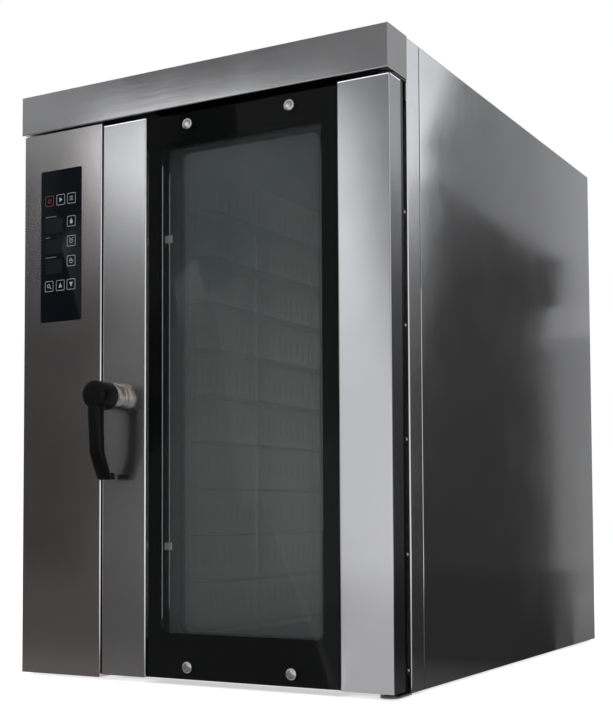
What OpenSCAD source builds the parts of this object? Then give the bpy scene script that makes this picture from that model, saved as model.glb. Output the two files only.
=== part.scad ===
// Floor-standing or stand-mounted convection oven with ten tray levels and a side-hung glass door.
// Origin: centre of the cabinet's base on the floor. +X to the right seen from the front,
// +Y towards the back, +Z up. All sizes in millimetres.

/* [Cabinet] */
// Overall width over the side panels
oven_w = 944; // [936:2:952]
// Height of the hood's top above the floor
oven_h = 1341; // [1336:1:1350]
// Depth of the cabinet behind its front frame
cabinet_d = 1262; // [1250:2:1280]
// Height of the lower edge of the panels above the floor
panel_lift = 6; // [5:1:8]
// Thickness of the stainless sheets
sheet_t = 1.5; // [1.2:0.1:1.8]
// Outer bend radius of the folded sheets
fold_r = 3; // [2.5:0.5:4]
// Depth of the front frame's strip on each side of the cabinet
trim_d = 61; // [50:1:70]

/* [Front] */
// Distance from the front frame to the front of the door
front_d = 84; // [84:1:86]
// Height of the hood
hood_h = 91; // [85:1:95]
// How far the hood stands in front of the door
hood_proud = 9; // [5:1:15]
// Gap between the hood and the door
hood_gap = 10; // [10:1:12]
// Gap between the control column and the door
door_gap = 5; // [4:1:7]
// Width of the control glass
panel_glass_w = 118; // [110:1:130]
// Height of the control glass
panel_glass_h = 352; // [330:2:370]

/* [Door] */
// Width of the door
door_w = 713; // [708:1:716]
// Thickness of the door without its gasket
door_t = 62; // [62:0.5:63]
// Width of each stainless stile
stile_w = 118; // [112:1:122]
// Width of the opening in the door's inner skin
aperture_w = 338; // [320:2:350]
// Height of the opening in the door's inner skin
aperture_h = 1050; // [1030:2:1060]
// Distance from the hinge pin to the door's right edge
hinge_inset = 22; // [20:1:24]

/* [Handle] */
// Height of the handle's spindle above the floor
handle_z = 625; // [600:1:660]
// Distance from the door's left edge to the spindle
handle_inset = 39; // [36:1:48]
// Diameter of the handle's hub
hub_d = 64; // [56:1:66]
// Length of the handle's hub
hub_l = 53; // [46:1:56]
// Diameter of the chrome collar
collar_d = 61; // [52:1:62]
// Length of the chrome collar
collar_l = 33; // [30:1:40]
// Width of the lever
lever_w = 36; // [30:1:40]
// Reach of the lever below the spindle
lever_reach = 184; // [175:1:190]

/* [Chamber] */
// Inside width between the liner's walls
chamber_w = 566; // [560:2:570]
// Inside height of the liner
chamber_h = 1110; // [1106:2:1114]
// Inside depth of the liner
chamber_d = 829; // [820:1:835]
// Clear width between the side ducts
rack_gap = 466; // [460:2:470]
// Number of tray levels
tray_levels = 10; // [8:1:10]
// Vertical distance from one tray level to the next
tray_pitch = 106; // [100:1:106]
// Width of each tray slide
slide_w = 63; // [55:1:68]

/* [Fans] */
// Diameter of each fan wheel
fan_d = 336; // [320:2:340]
// Depth of each fan wheel
fan_l = 62; // [54:1:64]
// Number of blades on each fan wheel
fan_blades = 20; // [16:1:24]

/* [Hidden] */
$fn = 48;
half_w = oven_w / 2;
front_y = -cabinet_d / 2;
back_y = cabinet_d / 2;
door_y = front_y - front_d;
skin_y = door_y + door_t;
roof_z = oven_h - 3;
wall_top = roof_z - sheet_t;
hood_z = oven_h - hood_h;
seam_y = front_y + trim_d;
seam_gap = 2.6;

rail_w = 50;
rail_h = 40;
rail_t = 3;
rail_x = half_w - 61;
rail_y = back_y - 65;
stand_hole_r = 5.5;
pan_z = rail_h + sheet_t;

door_x0 = half_w - door_w;
door_x1 = half_w;
door_x = (door_x0 + door_x1) / 2;
door_z0 = panel_lift + 6.5;
door_z1 = hood_z - hood_gap;
door_zc = (door_z0 + door_z1) / 2;
column_w = door_x0 - door_gap + half_w;
column_x = door_x0 - door_gap - column_w / 2;
column_z1 = hood_z - 2.5;
stile_lip = 14;

hinge_x = door_x1 - hinge_inset;
hinge_y = door_y + door_t / 2;
hinge_r = 21;
pin_r = 6;
bush_r = 9;
running_gap = 0.05;
bush_flange = 2.5;
pin_reach = 24;
bracket_t = 5;
bracket_h = 35;
bracket_z = 3;

glass_gap = 2;
glass_front = door_y + 2;
outer_glass_t = 6;
outer_glass_w = door_w - 2 * stile_w - 2 * glass_gap;
bolt_x = 128;
bolt_inset = 27;
bolt_r = 12;
rail_front = glass_front + outer_glass_t + 2;
aperture_z = 637;
aperture_r = 18;
pane_t = 5;
pane_y = skin_y - 14;
pane_w = aperture_w + 76;
pane_h = aperture_h + 24;
clip_z = [295, 976];

panel_glass_x = -half_w + 110;
panel_glass_z = 983;

handle_x = door_x0 + handle_inset;
handle_y = door_y - collar_l;
spindle_r = 6;
tongue_r = 12;
tongue_w = 12;
roller_r = 6;

chamber_z0 = 80;
chamber_z1 = chamber_z0 + chamber_h;
chamber_zc = (chamber_z0 + chamber_z1) / 2;
chamber_y0 = front_y + sheet_t + 0.1;
chamber_y1 = chamber_y0 + chamber_d;
mouth_w = chamber_w - 42;
mouth_h = chamber_h - 24;
wool_side = 50;
wool_floor = 36;
wool_roof = 50;
wool_back = 50;
wool_y1 = chamber_y1 + sheet_t + wool_back;

duct_x = rack_gap / 2;
duct_y0 = front_y + 66;
baffle_y = front_y + 706;
tray_z0 = 106;
slide_t = 2;
slide_y0 = duct_y0 + 2;
slide_l = 620;
upright_t = 6;
upright_w = 20;
slot_w = 10;
slot_h = 44;
slot_pitch = 30;
slot_count = 20;

fan_z = [chamber_zc - 275, chamber_zc + 275];
fan_r = fan_d / 2;
fan_y0 = baffle_y + 26;
fan_y1 = fan_y0 + fan_l;
shaft_r = 9;
heater_r = [200, 184];
heater_tube_r = 4.2;
heater_y = [fan_y0 + 12, fan_y0 + 44];
terminal_a = [[261, 267], [273, 279]];
motor_plate_y = wool_y1 + 0.5;
motor_plate_t = 3;
motor_y0 = motor_plate_y + motor_plate_t;
motor_l = 176;
motor_r = 68;

rear_y = back_y - 16;
service_x0 = door_x - 315;
service_x1 = door_x + 265;
service_z0 = 110;
service_z1 = 1190;
valve_x = half_w - 38;
valve_z = chamber_zc;
steam_x = door_x + 185;
pipe_r = 4;
pipe_bend = 20;
gland_x = -half_w + 90;
gland_z = 160;
gland_r = 8;
flue_r = 40;
flue_y = chamber_y1 - 70;
flue_top = oven_h + 37;
drain_r = 15;
probe_r = 3;
lamp_y = chamber_y0 + 32;
lamp_w = 48;
lamp_h = 96;

steel_c = "#b8babd";
bright_c = "#d4d6d9";
dull_c = "#8d9093";
black_c = "#1b1c1e";
glass_c = "#33403f";
wool_c = "#d9d0a8";
copper_c = "#a8683c";

// Box between two opposite corners
module block(lo, hi) {
    translate(lo) cube(hi - lo);
}

// Flat outline drawn in X and Z, given thickness from y0 to y1
module sheet_y(y0, y1) {
    translate([0, y1, 0]) rotate([90, 0, 0]) linear_extrude(y1 - y0) children();
}

// Flat outline drawn in Y and Z, given thickness from x0 to x1
module sheet_x(x0, x1) {
    translate([x0, 0, 0]) rotate([90, 0, 90]) linear_extrude(x1 - x0) children();
}

// Round bar along Y
module bar_y(x, z, y0, y1, r) {
    translate([x, y0, z]) rotate([-90, 0, 0]) cylinder(h = y1 - y0, r = r);
}

// Round bar along X
module bar_x(x0, x1, y, z, r) {
    translate([x0, y, z]) rotate([0, 90, 0]) cylinder(h = x1 - x0, r = r);
}

// Rectangle with round corners, centred
module rounded_rect(w, h, r) {
    square([w - 2 * r, h], center = true);
    square([w, h - 2 * r], center = true);
    for (x = [-1, 1], y = [-1, 1]) translate([x * (w / 2 - r), y * (h / 2 - r)]) circle(r);
}

// Quarter of a bent sheet's corner, in the first quadrant
module bend(r, t) {
    difference() {
        intersection() {
            circle(r);
            square(r);
        }
        circle(r - t);
    }
}

// Cross-section of a sheet folded into a channel: web along X, legs towards +Y
module channel(w, left_leg, right_leg) {
    translate([fold_r, 0]) square([w - 2 * fold_r, sheet_t]);
    translate([0, fold_r]) square([sheet_t, left_leg - fold_r]);
    translate([w - sheet_t, fold_r]) square([sheet_t, right_leg - fold_r]);
    translate([fold_r, fold_r]) rotate(180) bend(fold_r, sheet_t);
    translate([w - fold_r, fold_r]) rotate(270) bend(fold_r, sheet_t);
}

// Pressed louvre that faces +Y, with its mouth below
module louvre(l, r) {
    rotate([90, 0, 90]) difference() {
        rotate_extrude(angle = 90) square([r, l]);
        translate([0, 0, sheet_t]) rotate_extrude(angle = 90) square([r - sheet_t, l - 2 * sheet_t]);
    }
}

// Turned outline revolved about an axis along Y; the outline's height runs towards +Y
module turned_y(x, y, z) {
    translate([x, y, z]) rotate([-90, 0, 0]) rotate_extrude() children();
}

// Plan of the welded base rails
module rail_grid(w) {
    for (x = [-rail_x, 0, rail_x]) translate([x, 0]) square([w, 2 * rail_y + w], center = true);
    for (y = [-rail_y, 0, rail_y]) translate([0, y]) square([2 * rail_x + w, w], center = true);
}

module base_frame() {
    color(dull_c) difference() {
        linear_extrude(rail_h) rail_grid(rail_w);
        translate([0, 0, rail_t]) linear_extrude(rail_h) rail_grid(rail_w - 2 * rail_t);
        for (x = [-rail_x, rail_x], y = [-rail_y, rail_y])
            translate([x, y, -1]) cylinder(h = rail_t + 2, r = stand_hole_r);
    }
}

module base_pan() {
    edge = half_w - 17.5;
    color(dull_c) difference() {
        block([-edge, front_y + sheet_t + 0.5, rail_h], [edge, rear_y - sheet_t - 0.5, pan_z]);
        translate([door_x, flue_y, rail_h - 1]) cylinder(h = 4, r = drain_r + 1);
    }
}

module front_frame() {
    color(steel_c) difference() {
        union() {
            translate([-half_w, front_y, panel_lift])
                linear_extrude(wall_top - panel_lift) channel(oven_w, trim_d - seam_gap, trim_d - seam_gap);
            block([-half_w + 4, front_y + sheet_t, panel_lift],
                  [half_w - 4, front_y + 26, panel_lift + sheet_t]);
        }
        sheet_y(front_y - 1, front_y + 4)
            translate([door_x, chamber_zc]) square([mouth_w, mouth_h], center = true);
        for (x = [door_x - mouth_w / 2, door_x + mouth_w / 2])
            block([x - 0.05, front_y - 1, panel_lift - 1], [x + 0.05, front_y + 30, wall_top + 1]);
    }
}

// Outer side panel: a tray with folded flanges, open towards the chamber
module side_tray() {
    flange = 16;
    translate([half_w, seam_y, panel_lift]) rotate(90)
        linear_extrude(wall_top - panel_lift) channel(back_y - seam_y, flange, flange);
    for (z = [panel_lift, wall_top - sheet_t])
        block([half_w - flange, seam_y + sheet_t, z],
              [half_w - sheet_t, back_y - sheet_t, z + sheet_t]);
}

module side_panel_right() {
    color(steel_c) side_tray();
}

module side_panel_left() {
    louvre_l = 150;
    louvre_r = 8;
    rows = 9;
    row_z = [for (i = [0:rows - 1]) 150 + i * 26];
    cols = [back_y - 420, back_y - 220];
    color(steel_c) {
        difference() {
            mirror([1, 0, 0]) side_tray();
            for (y = cols, z = row_z)
                block([-half_w - 1, y + sheet_t, z], [-half_w + 4, y + louvre_l - sheet_t, z + 6]);
        }
        for (y = cols, z = row_z)
            translate([-half_w + sheet_t, y, z]) mirror([1, 0, 0]) rotate([0, 0, -90])
                mirror([1, 0, 0]) louvre(louvre_l, louvre_r);
    }
}

module top_panel() {
    drop = 14;
    edge = half_w - sheet_t - 0.4;
    color(steel_c) difference() {
        union() {
            block([-half_w, front_y, wall_top], [half_w, back_y, roof_z]);
            block([-edge + 15, front_y + 4, wall_top - drop], [edge - 15, back_y - 4, wall_top]);
        }
        block([-edge + 15 + sheet_t, front_y + 4 + sheet_t, wall_top - drop - 1],
              [edge - 15 - sheet_t, back_y - 4 - sheet_t, wall_top]);
        translate([door_x, flue_y, wall_top - 1]) cylinder(h = 4, r = flue_r + 1);
    }
}

module rear_panel() {
    edge = half_w - sheet_t - 0.5;
    color(dull_c) difference() {
        block([-edge, rear_y - sheet_t, panel_lift + 2], [edge, rear_y, wall_top - 16]);
        block([service_x0, rear_y - 4, service_z0], [service_x1, rear_y + 2, service_z1]);
        bar_y(valve_x, valve_z, rear_y - 4, rear_y + 2, 14.5);
        bar_y(gland_x, gland_z, rear_y - 4, rear_y + 2, 17);
    }
}

module rear_cover() {
    lap = 20;
    louvre_l = 230;
    louvre_r = 8;
    rows = 14;
    cols = [service_x0 + 50, service_x1 - 50 - louvre_l];
    row_z = [for (i = [0:rows - 1]) service_z0 + 120 + i * 66];
    color(dull_c) {
        difference() {
            block([service_x0 - lap, rear_y + 0.1, service_z0 - lap],
                  [service_x1 + lap, rear_y + sheet_t, service_z1 + lap]);
            for (x = cols, z = row_z)
                block([x + sheet_t, rear_y - 1, z],
                      [x + louvre_l - sheet_t, rear_y + 3, z + louvre_r - 2]);
        }
        for (x = cols, z = row_z)
            translate([x, rear_y + sheet_t - 0.2, z]) louvre(louvre_l, louvre_r);
    }
}

module hood() {
    color(steel_c) difference() {
        translate([-half_w, 0, 0]) sheet_x(0, oven_w)
            translate([(front_y + door_y - hood_proud) / 2, hood_z + hood_h / 2])
                rounded_rect(front_d + hood_proud, hood_h, 2);
        block([-half_w + sheet_t, door_y - hood_proud + sheet_t, hood_z + sheet_t],
              [half_w - sheet_t, front_y + 1, oven_h - sheet_t]);
    }
}

module control_column() {
    h = column_z1 - panel_lift;
    color(steel_c) {
        difference() {
            translate([-half_w, door_y, panel_lift])
                linear_extrude(h) channel(column_w, front_d, front_d);
            sheet_y(door_y - 1, door_y + 3) translate([panel_glass_x, panel_glass_z])
                square([panel_glass_w - 12, panel_glass_h - 12], center = true);
        }
        for (z = [panel_lift, column_z1 - sheet_t])
            block([-half_w + sheet_t, door_y + sheet_t, z],
                  [-half_w + column_w - sheet_t, front_y, z + sheet_t]);
    }
}

module control_glass() {
    color(black_c) {
        sheet_y(door_y - 1.2, door_y) translate([panel_glass_x, panel_glass_z])
            rounded_rect(panel_glass_w, panel_glass_h, 4);
        sheet_y(door_y, door_y + 3) translate([panel_glass_x, panel_glass_z])
            square([panel_glass_w - 14, panel_glass_h - 14], center = true);
    }
}

module control_board() {
    board_y = door_y + 14;
    w = panel_glass_w - 18;
    h = panel_glass_h - 18;
    color("#2f5a3a") {
        sheet_y(board_y, board_y + 1.6) translate([panel_glass_x, panel_glass_z])
            square([w, h], center = true);
        for (x = [-1, 1], z = [-1, 1])
            bar_y(panel_glass_x + x * (w / 2 - 6), panel_glass_z + z * (h / 2 - 6),
                  door_y + 3, board_y, 3);
        for (i = [-1:1])
            block([panel_glass_x - 40, door_y + 3.2, panel_glass_z + i * 48 - 16],
                  [panel_glass_x + 12, board_y, panel_glass_z + i * 48 + 16]);
    }
}

plate_x = -half_w + 175;
plate_y0 = front_y + 90;
plate_y1 = front_y + 560;

module component_plate() {
    color(dull_c) {
        block([plate_x, plate_y0, pan_z + 12], [plate_x + 2, plate_y1, 900]);
        block([plate_x, plate_y0, pan_z], [plate_x + 30, plate_y1, pan_z + 12]);
    }
}

module contactors() {
    color("#3a3d40") for (i = [0:2]) translate([plate_x - 62, plate_y0 + 60 + i * 70, 560]) {
        cube([62, 45, 76]);
        translate([-12, 8, 18]) cube([12, 29, 40]);
    }
}

module terminal_block() {
    color("#c9c4b4") for (i = [0:7]) translate([plate_x - 40, plate_y0 + 60 + i * 13, 240])
        difference() {
            cube([40, 12, 50]);
            translate([-1, 3, 8]) cube([18, 6, 8]);
            translate([-1, 3, 34]) cube([18, 6, 8]);
        }
}

// Heater terminals of both rings round one fan, as x and z from the fan's centre
terminals = [for (k = [0, 1]) for (a = terminal_a[k]) [heater_r[k] * cos(a), heater_r[k] * sin(a)]];

// Everything that crosses the chamber's rear wall, widened by a margin
module rear_crossings(y0, y1, margin) {
    for (z = fan_z) {
        bar_y(door_x, z, y0, y1, shaft_r + 3 + margin);
        for (p = terminals) bar_y(door_x + p.x, z + p.y, y0, y1, heater_tube_r + 1.8 + margin);
    }
    bar_y(steam_x, chamber_zc, y0, y1, pipe_r + 0.5 + margin);
    bar_y(door_x, chamber_zc, y0, y1, probe_r + 0.5 + margin);
}

module chamber_box(grow, y0, y1) {
    block([door_x - chamber_w / 2 - grow, y0, chamber_z0 - grow],
          [door_x + chamber_w / 2 + grow, y1, chamber_z1 + grow]);
}

// Liner of sheets with seams 0.1 mm wide: two walls, roof, floor, rear wall and front edge strips
module cavity_liner() {
    half = chamber_w / 2;
    seam = 0.1;
    color(steel_c) {
        for (s = [-1, 1]) translate([door_x, 0, 0]) scale([s, 1, 1]) {
            difference() {
                block([half, chamber_y0, chamber_z0], [half + sheet_t, chamber_y1, chamber_z1]);
                if (s > 0)
                    block([half - 1, lamp_y - lamp_w / 2, chamber_zc - lamp_h / 2],
                          [half + 3, lamp_y + lamp_w / 2, chamber_zc + lamp_h / 2]);
            }
            block([half + sheet_t + seam, chamber_y0, chamber_z0 - sheet_t - 18],
                  [half + sheet_t + 18, chamber_y0 + sheet_t, chamber_z1 + sheet_t + 18]);
        }
        difference() {
            block([door_x - half - sheet_t, chamber_y0, chamber_z1 + seam],
                  [door_x + half + sheet_t, chamber_y1, chamber_z1 + sheet_t]);
            translate([door_x, flue_y, chamber_z1 - 1]) cylinder(h = 4, r = flue_r + 0.5);
        }
        difference() {
            block([door_x - half - sheet_t, chamber_y0, chamber_z0 - sheet_t],
                  [door_x + half + sheet_t, chamber_y1, chamber_z0 - seam]);
            translate([door_x, flue_y, chamber_z0 - 3]) cylinder(h = 4, r = drain_r + 0.5);
        }
        difference() {
            chamber_box(sheet_t, chamber_y1 + seam, chamber_y1 + sheet_t);
            rear_crossings(chamber_y1 - 1, chamber_y1 + 3, 0);
        }
        for (z = [chamber_z0 - sheet_t - 18, chamber_z1 + sheet_t + seam])
            block([door_x - half - sheet_t, chamber_y0, z],
                  [door_x + half + sheet_t, chamber_y0 + sheet_t, z + 18 - seam]);
    }
}

module insulation() {
    y0 = chamber_y0 + sheet_t + 0.5;
    color(wool_c) difference() {
        block([door_x - chamber_w / 2 - sheet_t - wool_side, y0, chamber_z0 - sheet_t - wool_floor],
              [door_x + chamber_w / 2 + sheet_t + wool_side, wool_y1,
               chamber_z1 + sheet_t + wool_roof]);
        chamber_box(sheet_t + 0.2, y0 - 1, chamber_y1 + sheet_t + 0.2);
        rear_crossings(chamber_y1, wool_y1 + 1, 2);
        translate([door_x, flue_y, chamber_z1]) cylinder(h = 80, r = flue_r + 2);
        translate([door_x, flue_y, chamber_z0 - 60]) cylinder(h = 60, r = drain_r + 2);
        block([door_x + chamber_w / 2, lamp_y - lamp_w / 2 - 2, chamber_zc - lamp_h / 2 - 2],
              [door_x + chamber_w / 2 + 44, lamp_y + lamp_w / 2 + 2, chamber_zc + lamp_h / 2 + 2]);
    }
}

// Four corners of an upright slot
function slot_points(y, z) = [
    [y - slot_w / 2, z - slot_h / 2], [y + slot_w / 2, z - slot_h / 2],
    [y + slot_w / 2, z + slot_h / 2], [y - slot_w / 2, z + slot_h / 2]];

// Perforated duct face: one row of upright slots between each pair of tray levels
module duct_face() {
    y0 = duct_y0;
    y1 = baffle_y + 1;
    z0 = chamber_z0 + 1;
    z1 = chamber_z1 - 1;
    holes = [for (i = [0:tray_levels - 1]) for (k = [0:slot_count - 1])
        slot_points(duct_y0 + 34 + k * slot_pitch, tray_z0 + 54 + i * tray_pitch)];
    points = concat([[y0, z0], [y1, z0], [y1, z1], [y0, z1]], [for (h = holes) for (p = h) p]);
    paths = concat([[0, 1, 2, 3]],
                   [for (k = [0:len(holes) - 1]) [4 + 4 * k, 5 + 4 * k, 6 + 4 * k, 7 + 4 * k]]);
    polygon(points, paths);
}

// Side duct on the right: perforated face and the return that closes its front
module side_duct() {
    sheet_x(door_x + duct_x, door_x + duct_x + sheet_t) duct_face();
    block([door_x + duct_x + sheet_t, duct_y0, chamber_z0 + 1],
          [door_x + chamber_w / 2 - 0.3, duct_y0 + sheet_t, chamber_z1 - 1]);
}

module side_duct_right() {
    color(steel_c) side_duct();
}

module side_duct_left() {
    color(steel_c) other_side() side_duct();
}

// Ring of inlet slots in front of a fan, each a short sector between two radii
function inlet_slots(z, r0, r1, n) = [for (k = [0:n - 1]) let (a = 360 / n, s = k * a)
    [for (c = [[r0, 0.14], [r0, 0.86], [r1, 0.86], [r1, 0.5], [r1, 0.14]])
        [door_x + c[0] * cos(s + a * c[1]), z + c[0] * sin(s + a * c[1])]]];

module rear_baffle() {
    half = duct_x - 0.5;
    rings = [for (z = fan_z) for (r = [[34, 60, 12], [68, 92, 18], [100, 120, 24]])
        for (s = inlet_slots(z, r[0], r[1], r[2])) s];
    edge = [[door_x - half, chamber_z0 + 2], [door_x + half, chamber_z0 + 2],
            [door_x + half, chamber_z1 - 2], [door_x - half, chamber_z1 - 2]];
    points = concat(edge, [for (s = rings) for (p = s) p]);
    paths = concat([[0, 1, 2, 3]],
                   [for (k = [0:len(rings) - 1]) [for (i = [0:4]) 4 + 5 * k + i]]);
    color(steel_c) {
        difference() {
            sheet_y(baffle_y + 2, baffle_y + 2 + sheet_t) polygon(points, paths);
            bar_y(door_x, chamber_zc, baffle_y, baffle_y + 6, probe_r + 0.5);
        }
        for (s = [-1, 1])
            block([door_x + s * half - (s > 0 ? sheet_t : 0), baffle_y + 2, chamber_z0 + 2],
                  [door_x + s * half + (s > 0 ? 0 : sheet_t), baffle_y + 20, chamber_z1 - 2]);
    }
}

// Inner face of the tray rack's uprights on the right
rack_x = door_x + duct_x - 0.3 - upright_t;

// Uprights of the tray rack on the right
module uprights() {
    for (y = [slide_y0 + 20, slide_y0 + slide_l / 2, slide_y0 + slide_l - 20])
        block([rack_x, y - upright_w / 2, chamber_z0 + 0.2],
              [rack_x + upright_t, y + upright_w / 2, chamber_z1 - 6]);
}

// Flat slides of the tray rack on the right, one for each level
module slides() {
    for (i = [0:tray_levels - 1])
        block([rack_x - slide_w, slide_y0, tray_z0 + i * tray_pitch - slide_t],
              [rack_x - 0.1, slide_y0 + slide_l, tray_z0 + i * tray_pitch]);
}

// Mirror image on the chamber's other side
module other_side() {
    translate([2 * door_x, 0, 0]) mirror([1, 0, 0]) children();
}

module rack_uprights_right() {
    color(steel_c) uprights();
}

module rack_uprights_left() {
    color(steel_c) other_side() uprights();
}

module tray_slides_right() {
    color(bright_c) slides();
}

module tray_slides_left() {
    color(bright_c) other_side() slides();
}

module ring_heaters() {
    bar_r = heater_tube_r - 0.4;
    color("#5a5450") for (z = fan_z, k = [0, 1]) {
        a0 = terminal_a[k][0];
        a1 = terminal_a[k][1];
        translate([door_x, heater_y[k], z]) rotate([90, 0, 0]) rotate(a1)
            rotate_extrude(angle = 360 - a1 + a0) translate([heater_r[k], 0])
                circle(heater_tube_r, $fn = 20);
        for (a = [a0 - 0.4, a1 + 0.4])
            bar_y(door_x + heater_r[k] * cos(a), z + heater_r[k] * sin(a), heater_y[k],
                  motor_plate_y + motor_plate_t + 16, bar_r);
    }
}

module motor_plate() {
    color(dull_c) difference() {
        block([door_x - chamber_w / 2 + 20, motor_plate_y, pan_z],
              [door_x + chamber_w / 2 - 20, motor_plate_y + motor_plate_t, chamber_z1 + 40]);
        rear_crossings(motor_plate_y - 1, motor_plate_y + motor_plate_t + 1, 1);
    }
}

module motor(z) {
    fins = 16;
    color("#4d5358") difference() {
        union() {
            bar_y(door_x, z, motor_y0, motor_y0 + 10, motor_r + 12);
            bar_y(door_x, z, motor_y0 + 10, motor_y0 + motor_l - 24, motor_r - 8);
            bar_y(door_x, z, motor_y0 + motor_l - 24, motor_y0 + motor_l, motor_r - 2);
            for (i = [0:fins - 1]) translate([door_x, 0, z]) rotate([0, i * 360 / fins, 0])
                block([-1.5, motor_y0 + 10, motor_r - 12],
                      [1.5, motor_y0 + motor_l - 24, motor_r]);
            block([door_x - 32, motor_y0 + 50, z + motor_r - 14],
                  [door_x + 32, motor_y0 + 120, z + motor_r + 22]);
        }
        bar_y(door_x, z, motor_y0 - 1, motor_y0 + 70, shaft_r + running_gap);
    }
}

module motor_lower() motor(fan_z[0]);

module motor_upper() motor(fan_z[1]);

module motor_shaft(z) {
    color(bright_c) {
        bar_y(door_x, z, fan_y1 - 34, motor_y0 + 68, shaft_r);
        bar_y(door_x, z, fan_y1 - 46, fan_y1 - 34.1, shaft_r + 6);
    }
}

module motor_shaft_lower() motor_shaft(fan_z[0]);

module motor_shaft_upper() motor_shaft(fan_z[1]);

// One backward-curved blade: an arc through the axis, trimmed to the blade ring
module blade() {
    bow = fan_r * 0.6;
    intersection() {
        translate([bow, 0]) difference() {
            circle(bow + 1);
            circle(bow - 1);
        }
        difference() {
            circle(fan_r - 2);
            circle(fan_r * 0.58);
        }
        square(fan_r);
    }
}

module fan_wheel(z) {
    hub_r = 22;
    color(bright_c) translate([door_x, fan_y1, z]) rotate([90, 0, 0]) difference() {
        union() {
            cylinder(h = 2, r = fan_r);
            cylinder(h = 32, r = hub_r);
            translate([0, 0, 1.8]) for (i = [0:fan_blades - 1]) rotate(i * 360 / fan_blades)
                linear_extrude(fan_l - 3.6) blade();
            translate([0, 0, fan_l - 2]) difference() {
                cylinder(h = 2, r = fan_r);
                translate([0, 0, -1]) cylinder(h = 4, r = fan_r * 0.72);
            }
        }
        translate([0, 0, -1]) cylinder(h = 36, r = shaft_r + running_gap);
    }
}

module fan_wheel_lower() fan_wheel(fan_z[0]);

module fan_wheel_upper() fan_wheel(fan_z[1]);

module water_valve() {
    color("#d8d8d2") {
        bar_y(valve_x, valve_z, rear_y - 30, back_y, 13.2);
        bar_y(valve_x, valve_z, rear_y + 0.1, rear_y + 4, 18);
        block([valve_x - 20, rear_y - 70, valve_z - 20], [valve_x + 20, rear_y - 30, valve_z + 20]);
        translate([valve_x, rear_y - 50, valve_z + 20]) cylinder(h = 34, r = 16);
    }
}

// Quarter bend of a pipe, turning from +X to +Y about its own centre
module pipe_elbow() {
    rotate_extrude(angle = 90) translate([pipe_bend, 0]) circle(pipe_r);
}

module steam_pipe() {
    turn_y = motor_plate_y + 60;
    color(copper_c) translate([0, 0, chamber_zc]) {
        bar_y(valve_x, 0, turn_y + pipe_bend, rear_y - 70, pipe_r);
        translate([valve_x - pipe_bend, turn_y + pipe_bend, 0]) rotate(270) pipe_elbow();
        bar_x(steam_x + pipe_bend, valve_x - pipe_bend, turn_y, 0, pipe_r);
        translate([steam_x + pipe_bend, turn_y - pipe_bend, 0]) rotate(90) pipe_elbow();
        bar_y(steam_x, 0, baffle_y + 40, turn_y - pipe_bend, pipe_r);
    }
}

module temperature_probe() {
    color(bright_c) {
        bar_y(door_x, chamber_zc, baffle_y - 30, motor_plate_y + motor_plate_t, probe_r);
        bar_y(door_x, chamber_zc, motor_plate_y + motor_plate_t,
              motor_plate_y + motor_plate_t + 24, 8);
    }
}

lamp_x = door_x + chamber_w / 2;

module lamp_lens() {
    color("#e8eee8")
        block([lamp_x - 3, lamp_y - lamp_w / 2 - 4, chamber_zc - lamp_h / 2 - 4],
              [lamp_x - 0.1, lamp_y + lamp_w / 2 - 4 + 8, chamber_zc + lamp_h / 2 + 4]);
}

module lamp_housing() {
    color(dull_c) difference() {
        block([lamp_x, lamp_y - lamp_w / 2 + 0.5, chamber_zc - lamp_h / 2 + 0.5],
              [lamp_x + 42, lamp_y + lamp_w / 2 - 0.5, chamber_zc + lamp_h / 2 - 0.5]);
        block([lamp_x - 1, lamp_y - lamp_w / 2 + 2.5, chamber_zc - lamp_h / 2 + 2.5],
              [lamp_x + 40, lamp_y + lamp_w / 2 - 2.5, chamber_zc + lamp_h / 2 - 2.5]);
    }
}

module flue_pipe() {
    color(steel_c) translate([door_x, flue_y, 0]) rotate_extrude() {
        translate([flue_r - sheet_t, chamber_z1]) square([sheet_t, flue_top - chamber_z1]);
        translate([flue_r - 0.5, roof_z]) square([26, 2]);
    }
}

module drain_pipe() {
    color(dull_c) translate([door_x, flue_y, 0]) rotate_extrude() {
        translate([drain_r - 2, 16]) square([2, chamber_z0 - 16.2]);
        translate([drain_r - 1, 36]) square([6, rail_h - 36.2]);
    }
}

module cable_gland() {
    color(black_c) difference() {
        union() {
            bar_y(gland_x, gland_z, rear_y - 12, rear_y, 16);
            translate([gland_x, rear_y, gland_z]) rotate([-90, 0, 0]) cylinder(h = 7, r = 21, $fn = 6);
            turned_y(gland_x, rear_y + 6.8, gland_z) {
                square([17, 6]);
                square([14, 9]);
            }
            bar_y(gland_x, gland_z, rear_y - 20, rear_y - sheet_t - 0.1, 21);
        }
        bar_y(gland_x, gland_z, rear_y - 21, back_y + 2, gland_r);
    }
}

// Plan of a hinge plate: round nose about the pin, straight back to the cabinet
module hinge_plate(back) {
    translate([hinge_x, hinge_y]) circle(hinge_r);
    translate([hinge_x - hinge_r, hinge_y]) square([2 * hinge_r, back - hinge_y]);
}

module hinge_bracket_bottom() {
    color(dull_c) {
        translate([0, 0, bracket_z]) linear_extrude(bracket_t) hinge_plate(front_y - 0.05);
        block([hinge_x - 12, front_y - bracket_t, bracket_z + bracket_t - 0.1],
              [half_w - 2, front_y - 0.05, panel_lift + bracket_h]);
        translate([hinge_x, hinge_y, bracket_z + bracket_t - 0.1])
            cylinder(h = door_z0 - bush_flange - bracket_z - bracket_t, r = 11);
        translate([hinge_x, hinge_y, bracket_z + bracket_t - 0.1])
            cylinder(h = door_z0 + pin_reach - bracket_z - bracket_t, r = pin_r);
    }
}

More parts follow.
